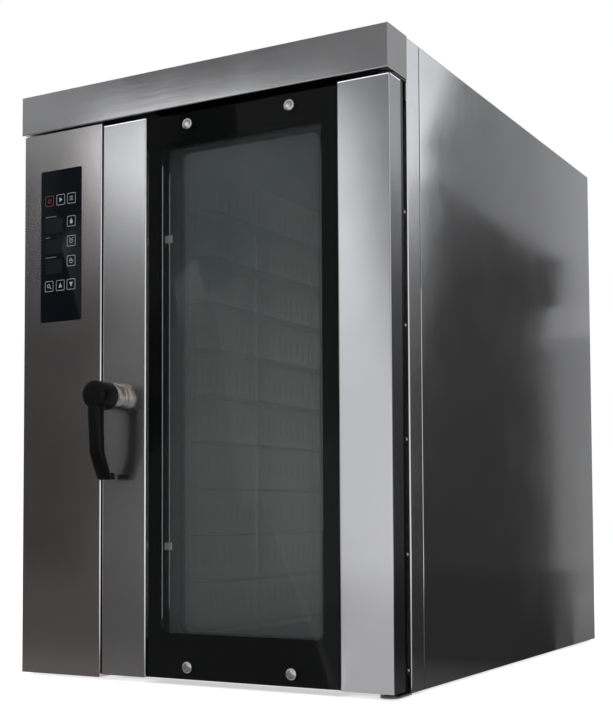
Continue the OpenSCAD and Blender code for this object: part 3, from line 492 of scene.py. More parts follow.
class Shape:
    """A mesh under construction, in metres in the part's own frame."""

    def __init__(self) -> None:
        """Start an empty mesh."""
        self.bm = bmesh.new()

    def ring(self, points: Iterable[Sequence[float]]) -> Ring:
        """Add vertices at these points."""
        return [self.bm.verts.new(p) for p in points]

    def band(self, a: Ring, b: Ring) -> None:
        """Join two closed rings with a band of faces.

        Args:
            a: the first ring.
            b: the second ring, with as many vertices.
        """
        for i in range(len(a)):
            j = (i + 1) % len(a)
            self.bm.faces.new((a[i], a[j], b[j], b[i]))

    def prism(self, outline: Iterable[Point2], lo: float, hi: float,
              along: Axis = Axis.Y) -> Ring:
        """Extrude a flat outline.

        Args:
            outline: points in the plane across the axis, X or Y first and Z second.
            lo: start along the axis.
            hi: end along the axis.
            along: Axis.Y, or Axis.X.

        Returns:
            The new faces' vertices.
        """
        def point(a: float, b: float, c: float) -> Point3:
            """Place of an outline's point at c along the axis."""
            return (c, a, b) if along is Axis.X else (a, c, b)
        first = self.ring(point(a, b, lo) for a, b in outline)
        face = self.bm.faces.new(first)
        made = bmesh.ops.extrude_face_region(self.bm, geom=[face])["geom"]
        moved = [v for v in made if isinstance(v, bmesh.types.BMVert)]
        shift = Vector(point(0, 0, hi)) - Vector(point(0, 0, lo))
        bmesh.ops.translate(self.bm, vec=shift, verts=moved)
        return first + moved

    def slab(self, lo: Point3, hi: Point3) -> None:
        """Add a box between two corners."""
        self.prism([(lo[0], lo[2]), (hi[0], lo[2]), (hi[0], hi[2]), (lo[0], hi[2])], lo[1], hi[1])

    def turn(self, profile: Iterable[Point2], centre: Point3, steps: int = 48) -> None:
        """Revolve an open profile about a line along Y.

        Args:
            profile: (radius, offset along Y) of each point, in millimetres.
            centre: point on the line where the offset is zero.
            steps: number of faces round the line.
        """
        along, side, origin = Vector(Axis.Y.value), Vector(Axis.Z.value), Vector(centre)
        verts = self.ring(origin + side * (r * MM) + along * (h * MM) for r, h in profile)
        edges = [self.bm.edges.new(pair) for pair in zip(verts, verts[1:])]
        bmesh.ops.spin(self.bm, geom=verts + edges, cent=origin, axis=along,
                       angle=math.tau, steps=steps, use_merge=True)

    def bevel(self, width: float, angle: float = 0.6, verts: Ring | None = None) -> None:
        """Bevel the edges that are sharper than an angle.

        Args:
            width: the bevel's width.
            angle: the smallest angle between two faces, in radians.
            verts: vertices that the edges have to lie between, or None for all.
        """
        self.bm.normal_update()
        pool = set(verts) if verts else None
        edges = [e for e in self.bm.edges
                 if len(e.link_faces) == 2 and e.calc_face_angle(0) > angle
                 and (pool is None or (e.verts[0] in pool and e.verts[1] in pool))]
        bmesh.ops.bevel(self.bm, geom=edges, offset=width, segments=2, profile=0.5,
                        affect="EDGES", offset_type="OFFSET", material=-1)

    def finish(self, name: str, finish: Finish, body: str, slot: str,
               replaces: Sequence[str] = (), smooth: float = 0.6) -> Object:
        """Turn the mesh into a piece of the oven, its faces merged and pointing outwards.

        Args:
            name: the piece's name.
            finish: its Finish.
            body: the CAD body that it rides on.
            slot: the record's material slot; not used.
            replaces: CAD nodes that it stands for.
            smooth: angle up to which edges are shaded smooth, or 0 for flat.

        Returns:
            The new object.
        """
        bmesh.ops.remove_doubles(self.bm, verts=self.bm.verts, dist=1e-6)
        bmesh.ops.recalc_face_normals(self.bm, faces=self.bm.faces)
        mesh = bpy.data.meshes.new(name)
        self.bm.to_mesh(mesh)
        self.bm.free()
        obj = linked(name, mesh)
        mesh.materials.append(finish.get())
        if smooth:
            mesh.shade_smooth()
            mesh.set_sharp_from_angle(angle=smooth)
        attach(obj, body)
        if replaces:
            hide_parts(*replaces)
        return obj


def rounded(cx: float, cy: float, w: float, h: float, r: float, steps: int = 6) -> list[Point2]:
    """Outline of a rectangle with round corners.

    Args:
        cx, cy: its centre.
        w, h: its width and height.
        r: the corners' radius.
        steps: number of edges in each corner.

    Returns:
        The points, counter-clockwise from the right end of the top right corner.
    """
    points = []
    for sx, sy, start in ((1, 1, 0), (-1, 1, 90), (-1, -1, 180), (1, -1, 270)):
        for i in range(steps + 1):
            a = math.radians(start + 90 * i / steps)
            points.append((cx + sx * (w / 2 - r) + r * math.cos(a),
                           cy + sy * (h / 2 - r) + r * math.sin(a)))
    return points


class PackedNodes:
    """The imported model's own nodes, which keep their shapes and get their finishes."""

    NODES = {
        Finish.HOOD: "hood",
        Finish.COLUMN: "control_column",
        Finish.STILE: "door_stile_left",
        Finish.HINGE_STILE: "door_stile_right",
        Finish.FRAME: "front_frame",
        Finish.SIDE: "side_panel_left side_panel_right",
        Finish.SHEET: "top_panel rear_cover flue_pipe",
        Finish.CHAMBER: "cavity_liner side_duct_left side_duct_right rear_baffle door_inner_skin "
                        "fan_wheel_upper fan_wheel_lower",
        Finish.SLIDE: "tray_slides_left tray_slides_right",
        Finish.UPRIGHT: "rack_uprights_left rack_uprights_right",
        Finish.ZINC: "base_frame base_pan rear_panel component_plate motor_plate lamp_housing "
                     "drain_pipe",
        Finish.COPPER: "steam_pipe",
        Finish.BRACKET: "hinge_bracket_top hinge_bracket_bottom",
        Finish.BRONZE: "hinge_bushes",
        Finish.HEATER: "ring_heaters",
        Finish.CHROME: "handle_collar",
        Finish.BOLT: "frame_screws glass_bolts",
        Finish.SHAFT: "motor_shaft_upper motor_shaft_lower temperature_probe catch_bracket "
                      "handle_spindle",
        Finish.RUBBER: "door_gasket inner_glass_seal",
        Finish.HANDLE: "handle_lever",
        Finish.PLASTIC: "contactors cable_gland catch_rollers",
        Finish.GREY: "terminal_block water_valve",
        Finish.NYLON: "inner_glass_clips",
        Finish.BOARD: "control_board",
        Finish.MOTOR: "motor_upper motor_lower",
        Finish.WOOL: "insulation",
        Finish.OUTER_GLASS: "door_glass_outer",
        Finish.INNER_GLASS: "door_glass_inner",
        Finish.LENS: "lamp_lens",
        Finish.PANEL: "control_glass",
        # the door's rails are drawn black as painted shade
        Finish.VOID: "door_rail_top door_rail_bottom",
    }

    def build(self) -> list[Object]:
        """Give every node its finish, and return the nodes.

        Returns:
            The pieces' objects.
        """
        nodes = []
        for finish, names in self.NODES.items():
            for name in names.split():
                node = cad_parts[name]
                node.data.materials.clear()
                node.data.materials.append(finish.get())
                nodes.append(node)
        return nodes


@dataclass(frozen=True)
class Sign:
    """Generic sign on one key, in millimetres from the key's centre."""
    column: int
    row: int
    arcs: tuple[tuple[float, ...], ...] = ()  # centre, radius, stroke, and the ends in degrees
    bars: tuple[tuple[float, ...], ...] = ()  # start, end, stroke
    fills: tuple[tuple[Point2, ...], ...] = ()  # outlines


@dataclass
class ControlPanel:
    """Black glass with nine keys, three readouts and their label dashes."""
    x: float = -362.0 * MM
    z: float = 983.0 * MM
    width: float = 118.0 * MM
    height: float = 352.0 * MM
    face: float = -716.2 * MM
    back: float = -712.0 * MM
    block: tuple[float, ...] = mm(52, 169)  # half sizes behind the glass
    key: float = 24.5 * MM
    columns: tuple[float, ...] = mm(-395.6, -362.9, -331.5)
    rows: tuple[float, ...] = mm(1088.5, 1035.5, 990, 944, 890)

    # the readouts: middle, width and height; each dash's height and length, and the window's
    # distance below it, in millimetres
    readout_x: float = -382.4 * MM
    readout: tuple[float, ...] = mm(48.9, 33)
    dash_x: float = -406.9
    dashes: tuple[tuple[float, float], ...] = ((1051.1, 32), (1003.0, 13.3), (956.7, 32))
    drop: float = 21.6

    # how far the signs and the readouts' windows stand in front of the glass
    SIGN_LIFT, WINDOW_LIFT = 0.06 * MM, 0.05 * MM

    # an open ring with a stroke in its gap
    POWER = Sign(0, 0, ((0, 0, 5, 1.2, 125, 415),), ((0, 6, 0, 1, 1.2),))
    # start, list, steam, timer, fan, light, up and down
    SIGNS = (
        Sign(1, 0, fills=(((-3.5, -5.5), (5, 0), (-3.5, 5.5)),)),
        Sign(2, 0, bars=((-4.5, -4, 4.5, -4, 1.4), (-4.5, 0, 4.5, 0, 1.4), (-4.5, 4, 4.5, 4, 1.4))),
        Sign(2, 1, fills=(((0, 7), (2.4, 2.8), (4.2, -0.8), (4.0, -3.6), (2.2, -5.6), (0, -6.2),
                           (-2.2, -5.6), (-4.0, -3.6), (-4.2, -0.8), (-2.4, 2.8)),)),
        Sign(2, 2, ((0, -0.5, 5, 1.2),),
             ((-6, 6.4, -2.6, 6.4, 1.6), (2.6, 6.4, 6, 6.4, 1.6), (0, -0.5, 0, 3, 1))),
        Sign(2, 3, ((0, 0, 5.4, 1.2, 90, 400),),
             fills=(((-1.2, -1.2), (1.2, 0), (1.2, 6), (-1.2, 5)),)),
        Sign(0, 4, ((-1.5, 1.2, 4.4, 1.4),), ((1.6, -1.8, 5.8, -6, 1.8),)),
        Sign(1, 4, fills=(((-5, -5), (5, -5), (0, 6)),)),
        Sign(2, 4, fills=(((-5, 5), (0, -6), (5, 5)),)))

    def build(self) -> list[Object]:
        """Build the glass and what is printed on it."""
        return [self.glass(), self.keys("key_power", Finish.ICON_RED, [self.POWER]),
                self.keys("key_signs", Finish.ICON, self.SIGNS), *self.readouts()]

    def glass(self) -> Object:
        """Build the glass, with the part of it that sits in the column's cut-out.

        Returns:
            The piece's object.
        """
        glass = Shape()
        glass.prism(rounded(self.x, self.z, self.width, self.height, 3 * MM), self.face, FACE_Y)
        glass.bevel(0.5 * MM)
        half_x, half_z = self.block
        glass.slab((self.x - half_x, FACE_Y - 0.1 * MM, self.z - half_z),
                   (self.x + half_x, self.back, self.z + half_z))
        return glass.finish("control_panel_glass", Finish.PANEL, "cabinet", "control_glass",
                            ["control_glass"])

    def flat(self, shape: Shape, outline: Iterable[Point2], lift: float = SIGN_LIFT) -> None:
        """Add a flat filled outline a lift in front of the glass."""
        shape.bm.faces.new(shape.ring((x, self.face - lift, z) for x, z in outline))

    def arc(self, shape: Shape, x: float, z: float, r: float, width: float,
            start: float = 0, stop: float = 360) -> None:
        """Add a flat arc.

        Args:
            shape: the Shape to add to.
            x, z: its centre.
            r: its outer radius.
            width: the stroke's width.
            start, stop: its ends in degrees, counter-clockwise from the right.
        """
        steps = 24
        rows = []
        for i in range(steps + 1):
            a = math.radians(start + (stop - start) * i / steps)
            rows.append(shape.ring((x + q * math.cos(a), self.face - self.SIGN_LIFT,
                                    z + q * math.sin(a)) for q in (r, r - width)))
        for p, q in zip(rows, rows[1:]):
            shape.bm.faces.new((p[0], q[0], q[1], p[1]))

    def bar(self, shape: Shape, x0: float, z0: float, x1: float, z1: float, width: float) -> None:
        """Add a straight stroke.

        Args:
            shape: the Shape to add to.
            x0, z0: its start.
            x1, z1: its end.
            width: the stroke's width.
        """
        d = Vector((x1 - x0, z1 - z0)).normalized() * width / 2
        self.flat(shape, [(x0 - d.y, z0 + d.x), (x0 + d.y, z0 - d.x),
                          (x1 + d.y, z1 - d.x), (x1 - d.y, z1 + d.x)])

    def key_frame(self, shape: Shape, x: float, z: float) -> None:
        """Add the outline of one key.

        Args:
            shape: the Shape to add to.
            x, z: the key's centre.
        """
        y, outer, inner = self.face - self.SIGN_LIFT, self.key, self.key - 2.2 * MM
        shape.band(shape.ring((a, y, b) for a, b in rounded(x, z, outer, outer, 3 * MM)),
                   shape.ring((a, y, b) for a, b in rounded(x, z, inner, inner, 2 * MM)))

    def keys(self, name: str, finish: Finish, signs: Iterable[Sign]) -> Object:
        """Print keys, each framed and with its sign.

        Args:
            name: the piece's name.
            finish: its ink.
            signs: the keys' signs.

        Returns:
            The piece's object.
        """
        ink = Shape()
        for sign in signs:
            x, z = self.columns[sign.column], self.rows[sign.row]
            self.key_frame(ink, x, z)
            for cx, cz, r, width, *ends in sign.arcs:
                self.arc(ink, x + cx * MM, z + cz * MM, r * MM, width * MM, *ends)
            for x0, z0, x1, z1, width in sign.bars:
                self.bar(ink, x + x0 * MM, z + z0 * MM, x + x1 * MM, z + z1 * MM, width * MM)
            for outline in sign.fills:
                self.flat(ink, [(x + dx * MM, z + dz * MM) for dx, dz in outline])
        return ink.finish(name, finish, "cabinet", "control_glass", smooth=0)

    def readouts(self) -> list[Object]:
        """Three dim windows, each with a short dash above it where a label would be.

        Returns:
            The pieces' objects.
        """
        windows, dashes = Shape(), Shape()
        width, height = self.readout
        for z, dash in self.dashes:
            self.flat(windows, rounded(self.readout_x, (z - self.drop) * MM, width, height, 2 * MM),
                      self.WINDOW_LIFT)
            self.bar(dashes, self.dash_x * MM, z * MM, (self.dash_x + dash) * MM, z * MM, 2 * MM)
        return [windows.finish("readout_windows", Finish.READOUT, "cabinet", "control_glass",
                               smooth=0),
                dashes.finish("readout_labels", Finish.LABEL, "cabinet", "control_glass",
                              smooth=0)]


@dataclass
class DoorGlass:
    """Outer glass with its black print, dot fade and bolts, and the edge of the inner pane."""
    x: float = 115.5 * MM
    half: float = 236.5 * MM
    z0: float = 14.0 * MM
    z1: float = 1238.5 * MM
    front: float = -713.0 * MM
    thick: float = 6.0 * MM
    window: tuple[float, ...] = mm(-84.6, 313, 110.5, 1178)
    corner: float = 15 * MM
    print_gap: float = 0.15 * MM
    dot_pitch: float = 3.4 * MM
    dot_margin: float = 20 * MM  # from the window's upper and lower edges
    dot_radii: tuple[float, ...] = mm(1.25, 0.99, 0.73, 0.47)
    dot_start: float = 1.4
    dot_step: float = 3.2
    # strips in millimetres, each partly a lip and partly a painted glint: left, right, bottom and top
    # behind the print, two corners behind those
    print_lip_glints: tuple[tuple[float, ...], ...] = (
        (-84.4, -83.3, 141, 1130), (311.0, 311.8, 330, 1112))
    inner_lip_glint: tuple[tuple[float, ...], ...] = ((-92.8, -668.5, 158), (-91.6, -667.2, 1122))
    bolt_x: float = 113.6 * MM
    bolt_reach: float = 127.4 * MM
    bolt_z: tuple[float, ...] = mm(40, 1212)

    def build(self) -> list[Object]:
        """Build the glass and everything on it."""
        return [self.pane(), self.border(), self.dots(), self.lip_glints(), *self.bolts()]

    def outline(self, inset: float = 0.0) -> list[Point2]:
        """The pane's outline, less an inset in width and height."""
        return rounded(self.x, (self.z0 + self.z1) / 2, 2 * self.half - inset,
                       self.z1 - self.z0 - inset, 3 * MM)

    def pane(self) -> Object:
        """Build the outer pane with its ground edges.

        Returns:
            The piece's object.
        """
        pane = Shape()
        pane.prism(self.outline(), self.front, self.front + self.thick)
        pane.bevel(0.8 * MM)
        return pane.finish("outer_door_glass", Finish.OUTER_GLASS, "door", "door_glass",
                           ["door_glass_outer"])

    def border(self) -> Object:
        """Build the black border printed on the back of the outer glass.

        Returns:
            The piece's object.
        """
        x0, x1, z0, z1 = self.window
        y = self.front + self.thick + self.print_gap
        inner = rounded((x0 + x1) / 2, (z0 + z1) / 2, x1 - x0, z1 - z0, self.corner)
        border = Shape()
        border.band(border.ring((x, y, z) for x, z in self.outline(1 * MM)),
                    border.ring((x, y, z) for x, z in inner))
        return border.finish("glass_print", Finish.FRIT, "door", "door_glass", smooth=0)

    def dots(self) -> Object:
        """Build the fade of printed dots beside the border's right edge.

        Returns:
            The piece's object.
        """
        y = self.front + self.thick + self.print_gap
        dots = Shape()
        _, right, low, high = self.window
        rows = int((high - low - 2 * self.dot_margin) / self.dot_pitch)
        for column, r in enumerate(self.dot_radii):
            x = right - (self.dot_start + self.dot_step * column) * MM
            for row in range(rows):
                z = low + self.dot_margin + (row + 0.5 * (column % 2)) * self.dot_pitch
                dots.bm.faces.new(dots.ring((x + r * math.cos(a), y, z + r * math.sin(a))
                                            for a in (math.tau * i / 8 for i in range(8))))
        return dots.finish("glass_print_dots", Finish.FRIT, "door", "door_glass", smooth=0)

    def lip_glints(self) -> Object:
        """Build the glowing strips beside the window, each partly a lip and partly a painted glint:
        two behind the print's edges, one on the inner pane.

        Returns:
            The piece's object.
        """
        lip_glints = Shape()
        y = self.front + self.thick + 0.3 * MM
        for x0, x1, z0, z1 in self.print_lip_glints:
            lip_glints.slab((x0 * MM, y, z0 * MM), (x1 * MM, y + 1 * MM, z1 * MM))
        lip_glints.slab(*(mm(*corner) for corner in self.inner_lip_glint))
        return lip_glints.finish("window_lip_glints", Finish.LIP, "door", "stainless_bright", smooth=0)

    def bolts(self) -> list[Object]:
        """Build four domed caps with their shanks, each on a thin black washer.

        Returns:
            The pieces' objects.
        """
        caps, washers = Shape(), Shape()
        dome = [(0, -4.6), (4.5, -4.5), (8.4, -4.1), (10.6, -3.4), (11.7, -2.4), (12.0, -1.4),
                (12.0, -0.6), (11.7, -0.3)]
        for side in (-1, 1):
            for z in self.bolt_z:
                centre = (self.bolt_x + side * self.bolt_reach, self.front, z)
                caps.turn(dome, centre)
                washers.turn([(11.0, -0.5), (12.9, -0.5), (13.2, 0)], centre)
                caps.turn([(4.8, self.thick / MM + 4), (4.8, 0.1)], centre)
        return [caps.finish("glass_bolt_caps", Finish.BOLT, "door", "chrome", ["glass_bolts"]),
                washers.finish("glass_bolt_washers", Finish.RUBBER, "door", "black_rubber")]


@dataclass
class Handle:
    """Lever with its hub and the collar behind it."""
    x: float = -202.0 * MM
    z: float = 625.0 * MM
    sections: tuple[tuple[float, ...], ...] = (
        # depth of the front, depth of the back, height from the spindle, half width
        (85, 52, 4, 18), (86, 54, -22, 18), (86, 61, -39, 18), (83, 62, -61, 18),
        (80, 61.3, -91, 18), (77.4, 60, -124, 18), (71.5, 53.3, -139, 18),
        (64.3, 46, -154, 17.8), (57, 41.4, -167, 17.6), (49.2, 35.4, -181, 17.0),
        (46.5, 36, -184, 15.4))

    ROUND_STEPS = 72  # faces round the collar and the hub
    BAR_STEPS = 24  # faces round the lever
    SQUARENESS = 0.55  # power that turns the lever's oval section into a rounded rectangle

    def build(self) -> list[Object]:
        """Build the collar, the hub and the lever."""
        return [self.collar(), self.hub(), self.bar()]

    def collar(self) -> Object:
        """Turn the collar, which has a groove next to the door.

        Returns:
            The piece's object.
        """
        profile = [(9, -33), (28.6, -33), (29.9, -32.5), (30.5, -31.2), (30.5, -7.0),
                   (30.0, -6.2), (28.6, -5.8), (28.6, -4.6), (30.0, -4.2), (30.5, -3.4), (30.5, 0)]
        collar = Shape()
        collar.turn(profile, (self.x, FACE_Y, self.z), self.ROUND_STEPS)
        return collar.finish("handle_chrome_collar", Finish.CHROME, "door", "chrome",
                             ["handle_collar"])

    def hub(self) -> Object:
        """Turn the hub with its rounded front edge.

        Returns:
            The piece's object.
        """
        profile = [(0, -86), (21.6, -86), (26.6, -85.4), (29.4, -84), (30.8, -81.6), (31.2, -78.6),
                   (31.2, -35.2), (30.6, -33.6), (9, -33.3)]
        hub = Shape()
        hub.turn(profile, (self.x, FACE_Y, self.z), self.ROUND_STEPS)
        return hub.finish("handle_hub", Finish.HANDLE, "handle", "black_plastic")

    def bar(self) -> Object:
        """Loft the lever, and add the toe that points at the door.

        Returns:
            The piece's object.
        """
        bar = Shape()
        rings = [self.section(bar, *sizes) for sizes in self.sections]
        for p, q in zip(rings, rings[1:]):
            bar.band(p, q)
        bar.bm.faces.new(rings[0][::-1])
        bar.bm.faces.new(rings[-1])
        toe = bar.prism([(FACE_Y - y * MM, self.z - z * MM) for y, z in
                         ((44, 183.6), (44, 168.5), (30, 168.5), (25.6, 170), (24, 173),
                          (24, 181), (26, 183.6))],
                        self.x - 16 * MM, self.x + 16 * MM, Axis.X)
        bar.bevel(1.2 * MM, 0.8, toe)
        return bar.finish("handle_bar", Finish.HANDLE, "handle", "black_plastic",
                          ["handle_lever"], smooth=1.0)

    def section(self, shape: Shape, front: float, back: float, height: float,
                half: float) -> Ring:
        """Add one closed cross-section of the lever, a rectangle with well rounded corners.

        Args:
            shape: the Shape to add to.
            front, back: depth of its two sides before the door, in millimetres.
            height: height over the spindle, in millimetres.
            half: half its width, in millimetres.

        Returns:
            Its vertices.
        """
        depth, centre = (front - back) / 2, (front + back) / 2
        points = []
        for i in range(self.BAR_STEPS):
            a = math.tau * i / self.BAR_STEPS
            c, s = math.cos(a), math.sin(a)
            dx = math.copysign(abs(c) ** self.SQUARENESS, c) * half * MM
            dy = math.copysign(abs(s) ** self.SQUARENESS, s) * depth * MM
            points.append((self.x + dx, FACE_Y - centre * MM + dy, self.z + height * MM))
        return shape.ring(points)


@dataclass
class Fasteners:
    """Screw heads that hold the sheets; each head is a dome with a cross recess."""
    radius: float = 4.2 * MM
    height: float = 2.2 * MM
    frame_y: float = -631.0 * MM
    cover_y: float = 616.5 * MM
    rear_y: float = 615.0 * MM
    roof_z: float = 1338.0 * MM

    # columns of heads in millimetres: x of each, lowest height, step, and number in each
    FRAME_COLUMNS = (462.0, -232.0), 50, 232, 5
    COVER_COLUMNS = (-210.5, 391.5), 100, 183.3, 7
    REAR_COLUMNS = (-448, 448), 60, 244, 6
    # heads on the roof in millimetres: places across and places back of each pattern
    ROOF = ((-462, -231, 0, 231, 462), (-610, 620)), ((-462, 462), (-300, 0, 300))

    STEPS = 16  # points round a head; every fourth one ends an arm of the recess
    DOME = ((1.0, 0.0), (1.0, 0.35), (0.86, 0.78), (0.55, 1.0))  # shares of radius and height
    ARM, WAIST, FLOOR = 0.5, 0.14, 0.45  # reach of the recess's arms and waist, and its floor

    def head(self, shape: Shape, centre: Sequence[float], out: Axis, sign: int = 1) -> None:
        """Add one pan head.

        Args:
            shape: the Shape to add to.
            centre: point where the head meets the sheet.
            out: axis that it stands along.
            sign: 1 or -1, the way that it points on that axis.
        """
        away = Vector(out.value) * sign
        turn = Vector(Axis.Z.value).rotation_difference(away).to_matrix().to_4x4()
        place = Matrix.Translation(Vector(centre)) @ turn
        angles = [math.tau * i / self.STEPS for i in range(self.STEPS)]

        def level(reach: Sequence[float], z: float) -> Ring:
            """Ring of points with a share of the radius each, at a share of the height."""
            return shape.ring(place @ Vector((
                self.radius * q * math.cos(a), self.radius * q * math.sin(a), self.height * z))
                for a, q in zip(angles, reach))
        rings = [level((q,) * self.STEPS, z) for q, z in self.DOME]
        rings.append(level([self.WAIST if i % 4 else self.ARM for i in range(self.STEPS)],
                           self.FLOOR))
        for p, q in zip(rings, rings[1:]):
            shape.band(p, q)
        shape.bm.faces.new(rings[-1])

    def build(self) -> list[Object]:
        """Place the heads on the front frame, the rear and the roof.

        Returns:
            The pieces' objects.
        """
        front, rear, roof = Shape(), Shape(), Shape()
        for shape, y, sign, (xs, low, step, count) in (
                (front, self.frame_y, -1, self.FRAME_COLUMNS),
                (rear, self.cover_y, 1, self.COVER_COLUMNS),
                (rear, self.rear_y, 1, self.REAR_COLUMNS)):
            for x in xs:
                for i in range(count):
                    self.head(shape, (x * MM, y, (low + step * i) * MM), Axis.Y, sign)
        for xs, ys in self.ROOF:
            for x in xs:
                for y in ys:
                    self.head(roof, (x * MM, y * MM, self.roof_z), Axis.Z)
        return [front.finish("front_frame_screws", Finish.BOLT, "cabinet", "chrome",
                             ["frame_screws"]),
                rear.finish("rear_screws", Finish.BOLT, "cabinet", "chrome"),
                roof.finish("roof_screws", Finish.BOLT, "cabinet", "chrome")]


@dataclass
class Seams:
    """Black strips of painted shadow that lie back in the gaps between the sheets, and painted
    highlights on the door's top edges.
    """
    # strip beside the door: left to right, front to back, bottom to top
    gap_x: tuple[float, ...] = mm(-245.9, -242.2)
    gap_y: tuple[float, ...] = (FACE_Y + 3 * MM, -700 * MM)
    gap_z: tuple[float, ...] = mm(14, 1238)
    # strips at the sides: how far in from the panel's face, and how far before and below its edges
    side_in: tuple[float, ...] = mm(1.3, 0.3)
    side_front: float = 2.55 * MM
    side_top: float = 2 * MM
    # how far back a strip reaches, and from what height: its upper part is wider
    side_parts: tuple[tuple[float, ...], ...] = ((-0.05, 7), (1.3, 830))
    # painted edge highlights in millimetres: left, front, right and back, and the heights of all
    highlights_at: tuple[tuple[float, ...], ...] = (
        (-239, -715.3, -124.5, -714), (356, -715.3, 470, -714), (471, -712, 472.3, -664))
    highlight_z: tuple[float, float] = (1238.6, 1240.3)

    def build(self) -> list[Object]:
        """Build the strip beside the door, those at the sides, and the painted edge highlights."""
        return [self.gap(), self.sides(), self.edge_highlights()]

    def gap(self) -> Object:
        """Build the strip of painted shadow between the control column and the door.

        Returns:
            The piece's object.
        """
        gap = Shape()
        gap.slab(*zip(self.gap_x, self.gap_y, self.gap_z))
        return gap.finish("column_gap_shadow", Finish.VOID, "cabinet", "black_rubber", smooth=0)

    def sides(self) -> Object:
        """Build the strips of painted shadow in the gaps between the front frame and the side panels.

        Returns:
            The piece's object.
        """
        (_, y0, _), (x1, _, z1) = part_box("side_panel_right")
        seam = Shape()
        for side in (-1, 1):
            left, right = sorted(side * (x1 - inset) for inset in self.side_in)
            for stop, z in self.side_parts:
                seam.slab((left, y0 - self.side_front, z * MM),
                          (right, y0 + stop * MM, z1 - self.side_top))
        return seam.finish("side_seam_shadows", Finish.VOID, "cabinet", "black_rubber", smooth=0)

    def edge_highlights(self) -> Object:
        """Build the painted highlights: glowing strips on top of the stiles and of the door's hinge
        side.

        Returns:
            The piece's object.
        """
        # painted highlights where the door's top edges catch light
        cut = Shape()
        low, high = self.highlight_z
        for x0, y0, x1, y1 in self.highlights_at:
            cut.slab(mm(x0, y0, low), mm(x1, y1, high))
        return cut.finish("door_edge_highlights", Finish.CUT, "door", "stainless_bright", smooth=0)


@dataclass
class Card:
    """A studio card that only reflections see; its brightness runs through a few stops."""
    name: str
    corners: tuple[Point3, ...]
    stops: tuple[tuple[float, float], ...]  # place along the axis, brightness
    axis: Axis = Axis.Z

    BLUE = 1.015  # daylight holds a little more blue

    def build(self) -> None:
        """Build the card as one face with its own light."""
        mesh = bpy.data.meshes.new(self.name)
        mesh.from_pydata([Vector(c) for c in self.corners], [], [tuple(range(len(self.corners)))])
        obj = linked(self.name, mesh)
        g = Graph(bpy.data.materials.new(self.name))
        lo, hi = self.stops[0][0], self.stops[-1][0]
        place = g.add("SeparateXYZ", (g.add("TexCoord", out="Object"),), self.axis.value.index(1))
        light = g.add("ValToRGB", (g.add("MapRange", (place, lo, hi)),))
        ramp = light.node.color_ramp
        while len(ramp.elements) < len(self.stops):
            ramp.elements.new(0.5)
        for element, (at, level) in zip(ramp.elements, self.stops):
            element.position = (at - lo) / (hi - lo)
            element.color = (level, level, level * self.BLUE, 1.0)
        g.add("OutputMaterial", (g.add("Emission", {"Color": light, "Strength": 1.0}),))
        mesh.materials.append(g.owner)
        for ray in ("camera", "diffuse", "transmission", "volume_scatter", "shadow"):
            setattr(obj, "visible_" + ray, False)


def upright(y: float, *points: Point2) -> tuple[Point3, ...]:
    """Corners of an upright card: (x, z) points at one depth."""
    return tuple((x, y, z) for x, z in points)


def lying(z: float, *points: Point2) -> tuple[Point3, ...]:
    """Corners of a card that lies just over the floor: (x, y) points at one height."""
    return tuple((x, y, z) for x, y in points)


